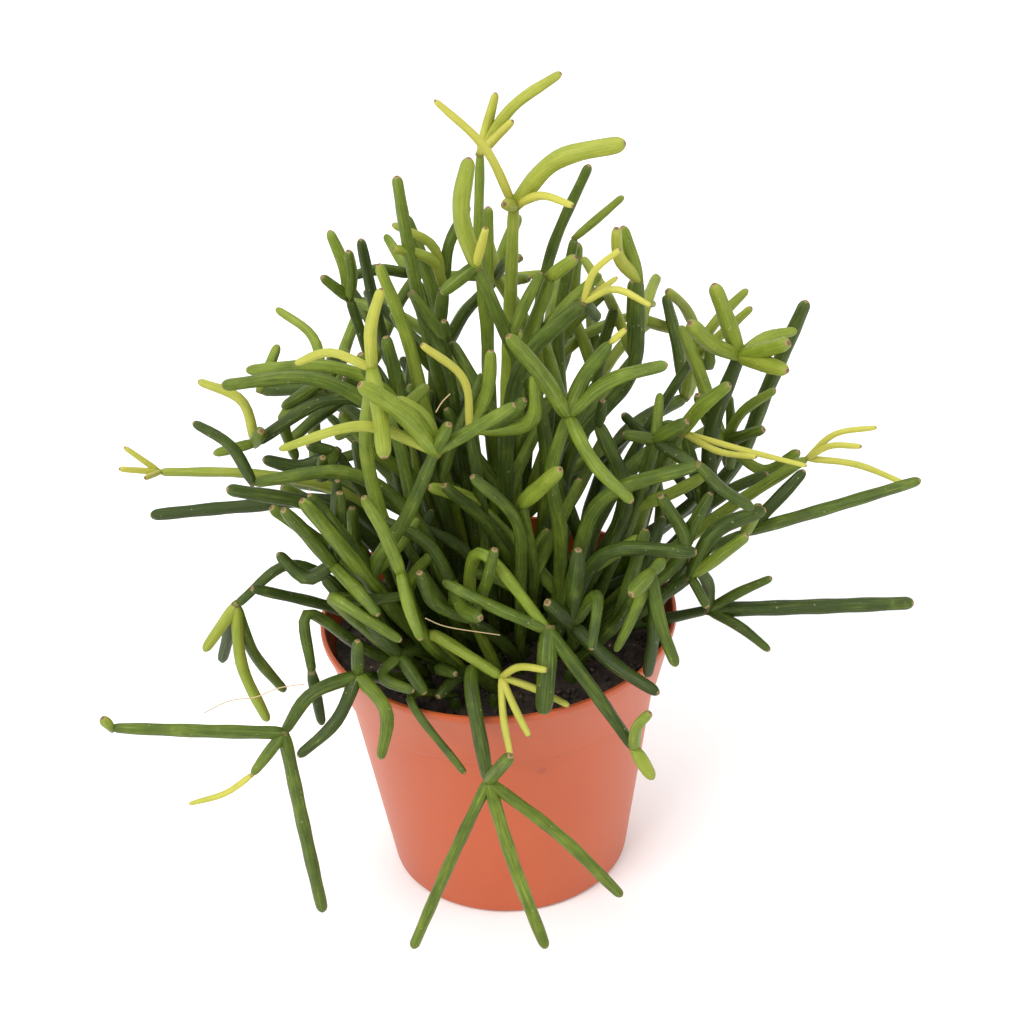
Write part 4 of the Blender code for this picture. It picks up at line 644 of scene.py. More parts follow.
def relax(plant):
    """Bend the stems of different clumps clear of each other and of the pot, mostly along the sight line."""
    points, start = plant.points, plant.points.copy()
    ends, radius, clumps = edge_table(plant)
    loose = 1.0 - np.array(plant.fixed)[:, None]
    free = np.flatnonzero(loose[ends].sum(1)[:, 0] > 0)
    view = np.array(AHEAD)
    order = start[ends].mean(1) @ view
    for turn in range(RELAX_ROUNDS):
        if turn % PAIR_ROUNDS == 0:
            first, second = near_pairs(points, ends, clumps)
        s, t, apart = nearest_on_edges(points, ends, first, second)
        gap = np.linalg.norm(apart, axis=1)
        lack = radius[first] + radius[second] + STEM_GAP - gap
        hit = lack > 0
        a, b, s, t, apart, lack = first[hit], second[hit], s[hit], t[hit], apart[hit], lack[hit]
        depth = apart @ view
        sign = np.where(np.abs(depth) > SURE_DEPTH, np.sign(depth), np.sign(order[a] - order[b]))
        flat = apart - depth[:, None] * view
        aim = view * (sign * np.maximum(np.abs(depth), LEAST_DEPTH))[:, None] + SIDEWAYS * flat
        aim /= np.linalg.norm(aim, axis=1)[:, None]
        push, weight = np.zeros_like(points), np.zeros(len(points))
        move = aim * (0.5 * lack)[:, None]
        for edge, away, along in ((a, move, s), (b, -move, t)):
            spread(push, weight, ends[edge, 0], away, 1 - along)
            spread(push, weight, ends[edge, 1], away, along)
        near, far = ends[free, 0], ends[free, 1]
        for part in PLACES_ON_EDGE:
            place = points[near] * (1 - part) + points[far] * part
            move = pot_push(place, radius[free])
            touched = (np.abs(move).sum(1) > 0).astype(float)
            spread(push, weight, near, move, touched * (1 - part))
            spread(push, weight, far, move, touched * part)
        points += loose * push / np.maximum(weight, LEAST_WEIGHT)[:, None] * OVERSHOOT
        if turn < RELAX_ROUNDS * SMOOTH_SHARE:
            drift = points - start
            total, count = drift.copy(), np.ones(len(points))
            for x, y in ((0, 1), (1, 0)):
                np.add.at(total, ends[:, x], drift[ends[:, y]])
                np.add.at(count, ends[:, x], 1.0)
            points[:] = start + loose * ((1 - SMOOTHING) * drift + SMOOTHING * total / count[:, None])
    plant.points = points


# Shader maths

class Socket:
    """A shader value that can be used in Python sums."""

    def __init__(self, finish, link):
        self.finish = finish
        self.link = link

    def maths(self, operation, other):
        return self.finish.node("ShaderNodeMath", {"operation": operation}, self, other)

    def __add__(self, other):
        return self.maths("ADD", other)

    def __sub__(self, other):
        return self.maths("SUBTRACT", other)

    def __mul__(self, other):
        return self.maths("MULTIPLY", other)

    __radd__ = __add__


class Finish:
    """A Principled material and the nodes that vary it."""

    def __init__(self, name, roughness, **fixed):
        self.material = bpy.data.materials.new(name)
        self.material.use_nodes = True
        self.nodes = self.material.node_tree.nodes
        self.links = self.material.node_tree.links
        self.shader = self.nodes["Principled BSDF"]
        self.shader.inputs["Roughness"].default_value = roughness
        for socket, value in fixed.items():
            self.shader.inputs[socket.replace("_", " ")].default_value = value

    def node(self, kind, settings, *values, output=0):
        """Any node: its settings first, then the values or links of its sockets in order."""
        made = self.nodes.new(kind)
        for key, value in settings.items():
            setattr(made, key, value)
        for socket, value in zip([socket for socket in made.inputs if socket.enabled], values):
            if isinstance(value, Socket):
                self.links.new(value.link, socket)
            else:
                socket.default_value = value
        return Socket(self, [socket for socket in made.outputs if socket.enabled][output])

    def place(self):
        """The point on the object, in metres."""
        return self.node("ShaderNodeTexCoord", {}, output=3)

    def noise(self, vector, scale, detail, roughness):
        return self.node("ShaderNodeTexNoise", {}, vector, scale, detail, roughness)

    def cells(self, vector, scale):
        """The distance to the nearest of many scattered spots."""
        return self.node("ShaderNodeTexVoronoi", {"feature": "F1"}, vector, scale)

    def remap(self, value, start, end):
        """A smooth change from 0 at the start value to 1 at the end value."""
        return self.node("ShaderNodeMapRange", {"interpolation_type": "SMOOTHSTEP"}, value, start, end)

    def mix(self, amount, *colours):
        colours = [(*colour, 1.0) if isinstance(colour, tuple) else colour for colour in colours]
        return self.node("ShaderNodeMix", {"data_type": "RGBA"}, amount, *colours)

    def ramp(self, value, *stops):
        """A run of colours along a value from 0 to 1."""
        made = self.node("ShaderNodeValToRGB", {}, value)
        elements = made.link.node.color_ramp.elements
        while len(elements) < len(stops):
            elements.new(0.5)
        for element, (place, colour) in zip(elements, stops):
            element.position = place
            element.color = (*colour, 1.0)
        return made

    def drive(self, socket, value):
        self.links.new(value.link, self.shader.inputs[socket])

    def bump(self, height, strength, distance):
        made = self.nodes.new("ShaderNodeBump")
        made.inputs["Strength"].default_value = strength
        made.inputs["Distance"].default_value = distance
        self.links.new(height.link, made.inputs["Height"])
        self.links.new(made.outputs[0], self.shader.inputs["Normal"])


# The skin's colours besides the ones that a user can change
SKIN_DARK = (0.028, 0.047, 0.004)
SKIN_GREEN = (0.160, 0.215, 0.018)
SKIN_LIGHT = (0.28, 0.31, 0.038)
SKIN_PATCH = (0.20, 0.22, 0.06)
SKIN_STREAK = (0.24, 0.28, 0.09)
JOINT_SCAR = (0.20, 0.15, 0.06)
FLECK = (0.42, 0.41, 0.22)
TIP_SCAR = (0.10, 0.055, 0.025)
# Heights in metres over which painted shade darkens the skin downwards, then painted light lightens it
# upwards
PAINTED_SHADE_HEIGHTS = (0.125, 0.085)
PAINTED_LIGHT_HEIGHTS = (0.15, 0.23)
# Distances in centimetres along a stem
CORK_CAP = (0.055, 0.01)
TIP_CENTRE = (0.012, 0.004)
JOINT_RING = (0.14, 0.03)


def stem_finish(old, young, cork):
    """Waxy green skin by the age of each stem, with corky joints and tips and pale flecks, painted shade low
    in the plant and painted light on its top.
    """
    finish = Finish("stem skin", 0.42, Specular_IOR_Level=0.24)
    growth = finish.node("ShaderNodeAttribute", {"attribute_name": "growth"}, output=1)
    age, from_joint, from_tip = [finish.node("ShaderNodeSeparateXYZ", {}, growth, output=axis)
                                 for axis in range(3)]
    lane = finish.node("ShaderNodeAttribute", {"attribute_name": "lane"}, output=1)
    place = finish.place()
    mottle = finish.noise(place, 130.0, 4.0, 0.6)
    grain = finish.noise(place, 900.0, 2.0, 0.6)
    height = finish.node("ShaderNodeSeparateXYZ", {}, place, output=2)
    # painted shade: the skin darkens towards the bottom of the plant, by height alone
    painted_shade = finish.remap(height, *PAINTED_SHADE_HEIGHTS)
    # painted light: the skin lightens towards the top of the plant, by height alone
    crown = finish.remap(height, *PAINTED_LIGHT_HEIGHTS)
    drawn_out = finish.node("ShaderNodeVectorMath", {"operation": "MULTIPLY"}, lane, (9.0, 9.0, 0.45))
    streaks = finish.noise(drawn_out, 1.0, 3.0, 0.6)
    # the tone is lowered by the painted shade low down and raised by the painted light up high
    tone = age + (mottle - 0.5) * 0.45 + (streaks - 0.5) * 0.55 - painted_shade * 0.12 + crown * 0.12
    green = finish.ramp(tone, (0.0, SKIN_DARK), (0.2, old), (0.42, SKIN_GREEN), (0.7, SKIN_LIGHT),
                        (1.0, young))
    corky = finish.remap(from_tip + (grain - 0.5) * 0.06, *CORK_CAP)
    scar = finish.remap(from_joint + (grain - 0.5) * 0.1, *JOINT_RING) * 0.6
    flecks = finish.remap(finish.cells(lane, 1.6), 0.15, 0.05) * finish.remap(grain, 0.4, 0.55) * 0.45
    colour = finish.mix(finish.remap(mottle, 0.6, 0.8) * 0.3, green, SKIN_PATCH)
    colour = finish.mix(finish.remap(streaks, 0.58, 0.74) * 0.3, colour, SKIN_STREAK)
    colour = finish.mix(scar, colour, JOINT_SCAR)
    colour = finish.mix(flecks, colour, FLECK)
    colour = finish.mix(corky, colour, cork)
    colour = finish.mix(finish.remap(from_tip, *TIP_CENTRE) * 0.7, colour, TIP_SCAR)
    finish.drive("Base Color", colour)
    finish.drive("Roughness", 0.34 + corky * 0.35 + grain * 0.2)
    finish.bump(mottle * 0.5 + grain * 0.3 + flecks * 0.6 + streaks * 1.1, 0.45, 0.0006)
    return finish.material


# The plastic's colours besides the one that a user can change
PLASTIC_CLOUD = (0.50, 0.105, 0.024)
PLASTIC_SCUFF = (0.62, 0.27, 0.17)
GATE_COLOUR = (0.26, 0.035, 0.015)
SCUFF_TURN = (0.3, 0.1, 0.0)
SCUFF_STRETCH = (9.0, 9.0, 90.0)
# Where the mould's gate left its small round mark on the pot's side, and that mark's edge in metres
GATE_PIXEL = (543, 773)
GATE_FORWARD = 45.0
GATE_EDGE = (0.0021, 0.0014)


def pot_finish(colour):
    """Moulded plastic with a faint sheen, fine scuffs and the gate's round mark."""
    finish = Finish("terracotta plastic", 0.42, Coat_Weight=0.04, Coat_Roughness=0.4)
    place = finish.place()
    cloud = finish.noise(place, 22.0, 4.0, 0.6)
    fine = finish.noise(place, 700.0, 3.0, 0.6)
    drawn_out = finish.node("ShaderNodeMapping", {}, place, (0.0, 0.0, 0.0), SCUFF_TURN, SCUFF_STRETCH)
    scuffs = finish.remap(finish.noise(drawn_out, 4.0, 5.0, 0.7), 0.66, 0.8)
    base = finish.mix(finish.remap(cloud, 0.35, 0.75) * 0.3, colour, PLASTIC_CLOUD)
    base = finish.mix(scuffs * 0.15, base, PLASTIC_SCUFF)
    middle = tuple(sight(*GATE_PIXEL, GATE_FORWARD) * MM)
    apart = finish.node("ShaderNodeVectorMath", {"operation": "DISTANCE"}, place, middle)
    gate = finish.remap(apart, *GATE_EDGE)
    base = finish.mix(gate * 0.45, base, GATE_COLOUR)
    finish.drive("Base Color", base)
    finish.drive("Roughness", 0.38 + cloud * 0.1 + scuffs * 0.15)
    finish.bump(fine - gate * 1.5, 0.12, 0.0002)
    return finish.material


PEAT_CLOD = (0.075, 0.047, 0.028)
PALE_BIT = (0.42, 0.36, 0.26)


def peat_finish(colour):
    """Dark peat with brown clods and a few pale bits."""
    finish = Finish("peat", 0.92)
    place = finish.place()
    clods = finish.noise(place, 300.0, 5.0, 0.7)
    bits = finish.remap(finish.cells(place, 420.0), 0.16, 0.1) * finish.remap(clods, 0.52, 0.6)
    base = finish.mix(finish.remap(clods, 0.4, 0.72), colour, PEAT_CLOD)
    base = finish.mix(bits, base, PALE_BIT)
    finish.drive("Base Color", base)
    finish.bump(clods, 0.9, 0.0015)
    return finish.material


def plain_finish(name, colour, roughness):
    """One even colour."""
    finish = Finish(name, roughness)
    finish.shader.inputs["Base Color"].default_value = (*colour, 1.0)
    return finish.material


# Making and shaping

# Dry aerial roots: their knots in the picture, and how far forward their two ends lie
DRY_ROOTS = [
    ([(305, 684), (279, 688), (256, 697), (229, 701), (204, 713)], 55, 52),
    ([(436, 412), (442, 402), (450, 394)], 48, 50),
    ([(425, 618), (448, 627), (500, 635)], 44, 46),
]
ROOT_HAIR = 0.16
ROOT_SPAN = 1.5
ROOT_COLOUR = (0.45, 0.33, 0.17)

# A fine stem's foot, domed tip and narrow joint, in shares of its radius or of its dome
FOOT_SINK = 0.55
DOME = 1.25
DOME_ROOM = 1.3
DOME_RINGS = (0.0, 0.3, 0.55, 0.75, 0.88, 0.96, 1.0)
WAIST_REACH = 1.3
SHOULDER_REACH = 2.2
# How much its width changes along and round it
WAIST_DEPTH = 0.32
BULGE = 0.07
BULGE_SPAN = 0.9
WAVE = 0.04
WAVE_RATE = 0.5
WAVE_START = 6
TAPER = (0.05, 0.25)
DOME_DEPTH = 0.93
DOME_CURVE = 2.2
SHOULDER_DEPTH = 0.12
RIBS = 4
RIB_HEIGHT = 0.075
# The skin's own measure of place, round the stem and along it, and how far apart two stems' measures lie
LANE_RADIUS = 0.55
LANE_LENGTH = 4.5
LANE_APART = 500
# The skin takes a tip that carries other stems to be this many centimetres from a bare one
COVERED_TIP = 0.12
AGE_SPREAD = (-0.06, 0.16)
THIN_STEM = 1.3
THIN_SAVING = 4
FEWEST_SIDES = 8
SKIN_SEED = 5


def clear_selection():
    """Leave edit mode and select nothing."""
    if bpy.context.object and bpy.context.object.mode != "OBJECT":
        bpy.ops.object.mode_set(mode="OBJECT")
    bpy.ops.object.select_all(action="DESELECT")


def choose(objects):
    """Select just these objects, with the first one active."""
    clear_selection()
    for each in objects:
        each.select_set(True)
    bpy.context.view_layer.objects.active = objects[0]


def lathe(name, profile, sides):
    """A closed turned body: a filled circle at the first point, drawn on through the others."""
    clear_selection()
    (radius, height), rest = profile[0], profile[1:]
    bpy.ops.mesh.primitive_circle_add(vertices=sides, radius=radius * MM, fill_type="NGON",
                                      location=(0, 0, height * MM))
    made = bpy.context.object
    made.name = made.data.name = name
    bpy.ops.object.mode_set(mode="EDIT")
    bpy.ops.mesh.select_all(action="SELECT")
    for wide, high in rest:
        bpy.ops.mesh.extrude_region_move(TRANSFORM_OT_translate={"value": (0, 0, (high - height) * MM)})
        share = wide / radius
        bpy.ops.transform.resize(value=(share, share, 1.0), center_override=(0, 0, high * MM))
        radius, height = wide, high
    bpy.ops.mesh.select_all(action="SELECT")
    bpy.ops.mesh.normals_make_consistent(inside=False)
    bpy.ops.object.mode_set(mode="OBJECT")
    bpy.ops.object.transform_apply(location=True, rotation=True, scale=True)
    return made


def finish_piece(made, material, slot, *nodes):
    """Give a piece its finish, let it ride the plant's body and stand for its CAD nodes."""
    made.data.materials.clear()
    made.data.materials.append(material)
    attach(made, "root")
    if nodes:
        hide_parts(*nodes)


def fine_path(points, spacing):
    """A limb's line, smooth and closely divided, from its first point on."""
    points = [Vector(p) for p in points]
    if len(points) == 2:
        points.insert(1, (points[0] + points[1]) / 2)
    return np.vstack([np.array(points[0])[None, :], smooth_path(points, spacing)])


def stem_rings(limb, points, sides, spacing, rng, bare_tip):
    """The rings of one fine stem, with the skin's values at each point and how many rings there are."""
    radius = limb.radius
    line = fine_path(points, spacing)
    heading = line[1] - line[0]
    line[0] -= heading / np.linalg.norm(heading) * radius * FOOT_SINK
    runs = np.cumsum(np.r_[0.0, np.linalg.norm(np.diff(line, axis=0), axis=1)])
    total = runs[-1]
    dome = radius * DOME
    marks = [m for m in runs if m < total - dome * DOME_ROOM]
    marks = np.array(marks + [total - dome + dome * share for share in DOME_RINGS])
    centres = np.stack([np.interp(marks, runs, line[:, axis]) for axis in range(3)], axis=1)
    ahead = np.gradient(centres, axis=0)
    ahead /= np.linalg.norm(ahead, axis=1)[:, None]
    waist = 1.0 - WAIST_DEPTH * np.exp(-((marks / (radius * WAIST_REACH)) ** 2))
    swell = 1.0 + BULGE * np.sin(marks / total * math.pi * BULGE_SPAN)
    swell += WAVE * np.sin(marks * WAVE_RATE + rng.uniform(0, WAVE_START))
    swell *= 1.0 - rng.uniform(*TAPER) * (marks / total) ** 2
    left = np.clip((marks - (total - dome)) / dome, 0.0, 1.0)
    blunt = (1.0 - DOME_DEPTH * left ** DOME_CURVE) ** 0.5
    blunt *= 1.0 - SHOULDER_DEPTH * np.exp(-(total - marks) / (SHOULDER_REACH * radius))
    widths = radius * waist * swell * blunt
    side = np.array(Vector(ahead[0]).orthogonal().normalized())
    phase = rng.uniform(0, math.tau)
    turns = np.linspace(0.0, math.tau, sides, endpoint=False)
    ribs = 1.0 + RIB_HEIGHT * np.cos(RIBS * turns + phase)
    verts, growth, lane = [], [], []
    offset = rng.uniform(0, LANE_APART)
    age = limb.age + rng.uniform(*AGE_SPREAD)
    for centre, along, width, mark in zip(centres, ahead, widths, marks):
        side = side - along * side.dot(along)
        side /= np.linalg.norm(side)
        other = np.cross(along, side)
        spokes = side[None, :] * np.cos(turns)[:, None] + other[None, :] * np.sin(turns)[:, None]
        verts.append(centre + spokes * (width * ribs)[:, None])
        tip = (total - mark) / 10.0 if bare_tip else COVERED_TIP + (total - mark) / 10.0
        growth += [(age, mark / 10.0, tip)] * sides
        lane += [(math.cos(t) * LANE_RADIUS + offset, math.sin(t) * LANE_RADIUS, mark / LANE_LENGTH)
                 for t in turns]
    return np.vstack(verts), growth, lane, len(marks)


def stem_faces(start, rings, sides):
    """Quads round a stem and one many-sided cap at each end."""
    faces = [tuple(start + step for step in reversed(range(sides)))]
    for ring in range(rings - 1):
        low = start + ring * sides
        for step in range(sides):
            after = (step + 1) % sides
            faces.append((low + step, low + after, low + sides + after, low + sides + step))
    last = start + (rings - 1) * sides
    faces.append(tuple(last + step for step in range(sides)))
    return faces


def clump_mesh(name, limbs, plant, sides, spacing, rng):
    """One clump's fine stems in a single mesh, with growth values for its finish."""
    joints = {limb.rows[0] for limb in plant.limbs}
    verts, faces, growth, lane, count = [], [], [], [], 0
    for limb in limbs:
        bare = limb.rows[-1] not in joints
        around = sides if limb.radius > THIN_STEM else max(FEWEST_SIDES, sides - THIN_SAVING)
        ring, grew, lanes, rings = stem_rings(limb, plant.points[limb.rows], around, spacing, rng, bare)
        faces += stem_faces(count, rings, around)
        verts.append(ring)
        growth += grew
        lane += lanes
        count += len(ring)
    mesh = bpy.data.meshes.new(name)
    mesh.from_pydata((np.vstack(verts) * MM).tolist(), [], faces)
    for attribute, values in (("growth", growth), ("lane", lane)):
        stored = mesh.attributes.new(attribute, "FLOAT_VECTOR", "POINT")
        stored.data.foreach_set("vector", np.array(values).ravel())
    mesh.shade_smooth()
    made = bpy.data.objects.new(name, mesh)
    bpy.context.scene.collection.objects.link(made)
    return made


# What a user can change

def colour_choice(name, description, default):
    """A colour that a user can pick."""
    return FloatVectorProperty(name=name, description=description, subtype="COLOR", default=default,
                               min=0.0, max=1.0)


class StemSettings(bpy.types.PropertyGroup):
    """Fineness and colours of the stems."""
    sides: IntProperty(name="Sides", description="Faces round a full stem", default=14, min=8, max=24)
    spacing: FloatProperty(name="Ring spacing", default=2.4, min=1.0, max=6.0,
                           description="Distance between a stem's rings, in millimetres")
    old: colour_choice("Old green", "Colour of a grown stem", (0.072, 0.110, 0.008))
    young: colour_choice("Young yellow", "Colour of a fresh shoot", (0.46, 0.44, 0.07))
    cork: colour_choice("Corky tip", "Colour of the dry tips", (0.30, 0.21, 0.095))


class PotSettings(bpy.types.PropertyGroup):
    """Fineness and colour of the pot."""
    sides: IntProperty(name="Sides", description="Faces round the pot", default=144, min=48, max=256)
    colour: colour_choice("Plastic", "Colour of the moulded plastic", (0.42, 0.068, 0.011))


class SoilSettings(bpy.types.PropertyGroup):
    """Crumbs and colour of the peat."""
    crumbs: IntProperty(name="Crumbs", description="How many loose crumbs lie on the peat", default=900,
                        min=0, max=3000)
    colour: colour_choice("Peat", "Colour of the peat", (0.020, 0.013, 0.009))


class StudioSettings(bpy.types.PropertyGroup):
    """Floor and light."""
    floor: colour_choice("Floor", "Colour of the floor and backdrop", (0.93, 0.93, 0.93))
    power: FloatProperty(name="Key light", default=19.0, min=0.0,
                         description="Power of the key light, in watts")


# The drills that cut the pot's drains: their sides, and their length in metres
DRILL_SIDES = 32
DRILL_LENGTH = 0.02
# The sharpest corners that still look rounded, in degrees
POT_SMOOTH = 35
PEAT_SMOOTH = 50


class CACTUS_OT_pot(bpy.types.Operator):
    """Turn the pot's wall, collar, lip and foot, and drill its drains"""
    bl_idname = "cactus.pot"
    bl_label = "Pot"

    def execute(self, context):
        settings = context.scene.cactus_pot
        groove = [(GROOVE_INNER, 0.0), (GROOVE_INNER + 0.6, GROOVE_DEPTH),
                  (GROOVE_OUTER - 0.6, GROOVE_DEPTH), (GROOVE_OUTER, 0.0)]
        foot = [(FOOT_RADIUS - 1.4, 0.0), (FOOT_RADIUS - 0.6, 0.25), (FOOT_RADIUS - 0.15, 0.8),
                (FOOT_RADIUS + 0.05, 1.6)]
        collar = [(POT_WAIST - 0.35, COLLAR_FOOT - 2.0), (POT_WAIST - 0.1, COLLAR_FOOT - 1.0),
                  (COLLAR_RADIUS - 0.45, COLLAR_FOOT - 0.45), (COLLAR_RADIUS - 0.1, COLLAR_FOOT - 0.1),
                  (COLLAR_RADIUS + 0.05, COLLAR_FOOT + 0.5)]
        lip = [(RIM_RADIUS - 0.75, LIP_FOOT - 0.3), (RIM_RADIUS - 0.5, LIP_FOOT),
               (RIM_RADIUS - 0.1, LIP_FOOT + 0.25), (RIM_RADIUS, LIP_FOOT + 0.7),
               (RIM_RADIUS, POT_HEIGHT - 0.7), (RIM_RADIUS - 0.2, POT_HEIGHT - 0.2),
               (RIM_RADIUS - 0.6, POT_HEIGHT), (INNER_LIP + 0.3, POT_HEIGHT), (INNER_LIP, POT_HEIGHT - 0.3)]
        inside = [(INNER_LIP - 0.3, LIP_FOOT), (COLLAR_RADIUS - WALL, COLLAR_FOOT + 1.0),
                  (POT_WAIST - WALL, COLLAR_FOOT - 1.0), (FOOT_RADIUS - WALL, POT_FLOOR + 1.0),
                  (FOOT_RADIUS - WALL - 1.0, POT_FLOOR), (3.0, POT_FLOOR)]
        pot = lathe("moulded_pot", groove + foot + collar + lip + inside, settings.sides)
        drains = []
        for number in range(DRAIN_COUNT):
            angle = math.tau * number / DRAIN_COUNT
            place = (DRAIN_CIRCLE * MM * math.cos(angle), DRAIN_CIRCLE * MM * math.sin(angle), 0.0)
            bpy.ops.mesh.primitive_cylinder_add(vertices=DRILL_SIDES, radius=DRAIN_RADIUS * MM,
                                                depth=DRILL_LENGTH, location=place)
            drains.append(bpy.context.object)
        choose(drains)
        bpy.ops.object.join()
        cut = pot.modifiers.new("drains", "BOOLEAN")
        cut.object = drains[0]
        choose([pot])
        bpy.ops.object.modifier_apply(modifier=cut.name)
        bpy.data.objects.remove(drains[0])
        bpy.ops.object.shade_smooth_by_angle(angle=math.radians(POT_SMOOTH))
        finish_piece(pot, pot_finish(tuple(settings.colour)), "pot_plastic", "pot")
        return {"FINISHED"}


# The peat's top: how finely it is divided, its waves and its grit, in millimetres
PEAT_SIDES = 120
PEAT_MIDDLE = 20.0
PEAT_RINGS = 30
PEAT_SEED = 11
PEAT_WAVES = 26
PEAT_RATES = (0.1, 0.9)
PEAT_RISE = 0.22
PEAT_FADE = 0.35
PEAT_SHARE = 0.55
PEAT_LIMIT = 2.0
PEAT_GRIT = 0.35
FLAT_EDGE = 0.5
# Loose crumbs: the bare margin at the wall, their size and how high they lie, in millimetres
CRUMB_MARGIN = 2.2
CRUMB_SIZE = 1.5
CRUMB_SMALLEST = 0.35
CRUMB_CROWDING = 1.5
CRUMB_LIFT = (-0.2, 0.9)


class CACTUS_OT_soil(bpy.types.Operator):
    """Fill the pot with peat, uneven and crumbly on top"""
    bl_idname = "cactus.soil"
    bl_label = "Peat"

    def execute(self, context):
        settings = context.scene.cactus_soil
        share = (SOIL_TOP - COLLAR_FOOT - 1.0) / (COLLAR_DROP - LIP_DEPTH - 1.0)
        edge = COLLAR_RADIUS - WALL + (INNER_LIP - 0.3 - COLLAR_RADIUS + WALL) * share - FIT
        profile = [(PEAT_MIDDLE, POT_FLOOR + FIT), (FOOT_RADIUS - WALL - FIT - 1.0, POT_FLOOR + FIT),
                   (POT_WAIST - WALL - FIT, COLLAR_FOOT - 1.0),
                   (COLLAR_RADIUS - WALL - FIT, COLLAR_FOOT + 1.0 + FIT)]
        profile += [(edge * (1 - step / PEAT_RINGS), SOIL_TOP) for step in range(PEAT_RINGS)]
        soil = lathe("loose_peat", profile + [(0.6, SOIL_TOP)], PEAT_SIDES)
        rng = random.Random(PEAT_SEED)
        waves = [(rng.uniform(*PEAT_RATES), rng.uniform(0, math.tau), rng.uniform(0, math.tau))
                 for _ in range(PEAT_WAVES)]
        for vert in soil.data.vertices:
            x, y, z = vert.co / MM
            if z > SOIL_TOP - 0.01 and math.hypot(x, y) < edge - FLAT_EDGE:
                rise = sum(math.sin((x * math.cos(way) + y * math.sin(way)) * rate + phase)
                           * PEAT_RISE / (rate + PEAT_FADE) for rate, way, phase in waves)
                wave = PEAT_SHARE * max(-PEAT_LIMIT, min(PEAT_LIMIT, rise))
                vert.co.z += (wave + rng.uniform(-PEAT_GRIT, PEAT_GRIT)) * MM
        bpy.ops.mesh.primitive_ico_sphere_add(subdivisions=1, radius=MM)
        seed = bpy.context.object
        crumbs = [seed]
        for _ in range(settings.crumbs):
            copy = seed.copy()
            copy.data = seed.data.copy()
            bpy.context.scene.collection.objects.link(copy)
            reach, angle = (edge - CRUMB_MARGIN) * math.sqrt(rng.random()), rng.uniform(0, math.tau)
            size = rng.uniform(CRUMB_SMALLEST, 1.0) ** CRUMB_CROWDING * CRUMB_SIZE
            copy.location = (reach * math.cos(angle) * MM, reach * math.sin(angle) * MM,
                             (SOIL_TOP + rng.uniform(*CRUMB_LIFT)) * MM)
            copy.rotation_euler = [rng.uniform(0, math.tau) for _ in range(3)]
            copy.scale = (size, size * rng.uniform(0.5, 1.0), size * rng.uniform(0.4, 0.8))
            crumbs.append(copy)
        seed.location = (0, 0, SOIL_TOP * MM)
        choose([soil] + crumbs)
        bpy.ops.object.join()
        bpy.ops.object.shade_smooth_by_angle(angle=math.radians(PEAT_SMOOTH))
        finish_piece(soil, peat_finish(tuple(settings.colour)), "peat", "soil")
        return {"FINISHED"}


class CACTUS_OT_stems(bpy.types.Operator):
    """Grow every clump of stems again, finely, where the frame has them"""
    bl_idname = "cactus.stems"
    bl_label = "Stems"

    def execute(self, context):
        settings = context.scene.cactus_stems
        skin = stem_finish(tuple(settings.old), tuple(settings.young), tuple(settings.cork))
        plant, names = grow_plant()
        relax(plant)
        rng = random.Random(SKIN_SEED)
        for number, name in enumerate(names):
            limbs = [limb for limb in plant.limbs if limb.clump == number]
            made = clump_mesh(f"fine_{name}", limbs, plant, settings.sides, settings.spacing, rng)
            finish_piece(made, skin, "green_stem", f"stems_{name}")
        return {"FINISHED"}


class CACTUS_OT_roots(bpy.types.Operator):
    """Lay the few dry aerial roots, thin hairs beside the stems"""
    bl_idname = "cactus.roots"
    bl_label = "Dry roots"

    def execute(self, context):
        hairs = []
        for knots, near, far in DRY_ROOTS:
            curve = bpy.data.curves.new("hair", "CURVE")
            curve.dimensions = "3D"
            curve.bevel_depth = ROOT_HAIR * MM
            curve.bevel_resolution = 1
            curve.use_fill_caps = True
            spline = curve.splines.new("POLY")
            corners = [sight(x, y, near + (far - near) * step / (len(knots) - 1))
                       for step, (x, y) in enumerate(knots)]
            points = [Vector(p) for p in fine_path(corners, ROOT_SPAN)]
            spline.points.add(len(points) - 1)
            for place, point in zip(spline.points, points):
                place.co = (*(point * MM), 1.0)
            hair = bpy.data.objects.new("hair", curve)
            context.scene.collection.objects.link(hair)
            hairs.append(hair)
        choose(hairs)
        bpy.ops.object.convert(target="MESH")
        bpy.ops.object.join()
        made = context.object
        made.name = made.data.name = "dry_roots"
        finish_piece(made, plain_finish("dry root", ROOT_COLOUR, 0.7), "green_stem")
        return {"FINISHED"}


# The studio, in metres
FLOOR_SIDE = 12.0
FLOOR_DROP = 0.0003
ROOM_STRENGTH = 0.85
LIGHT_AIM = (0.0, 0.0, 0.12)
# Each light's share of the key light's power, its side and its place
LIGHTS = {
    "key": (1.0, 0.9, (-0.75, -0.85, 1.15)),
    "fill": (0.35, 1.4, (1.2, -0.7, 0.8)),
    "top": (0.5, 1.2, (0.1, 0.5, 1.5)),
}
# The camera's sensor in millimetres, the picture's side in pixels and how far the camera sees in metres
SENSOR = 36.0
PICTURE_SIDE = 1024
FAR_LIMIT = 50.0


def area_light(name, power, size, place):
    """A soft square light that faces the plant."""
    data = bpy.data.lights.new(name, "AREA")
    data.energy = power
    data.size = size
    light = bpy.data.objects.new(name, data)
    bpy.context.scene.collection.objects.link(light)
    light.location = place
    light.rotation_euler = (Vector(LIGHT_AIM) - Vector(place)).to_track_quat("-Z", "Y").to_euler()
    return light


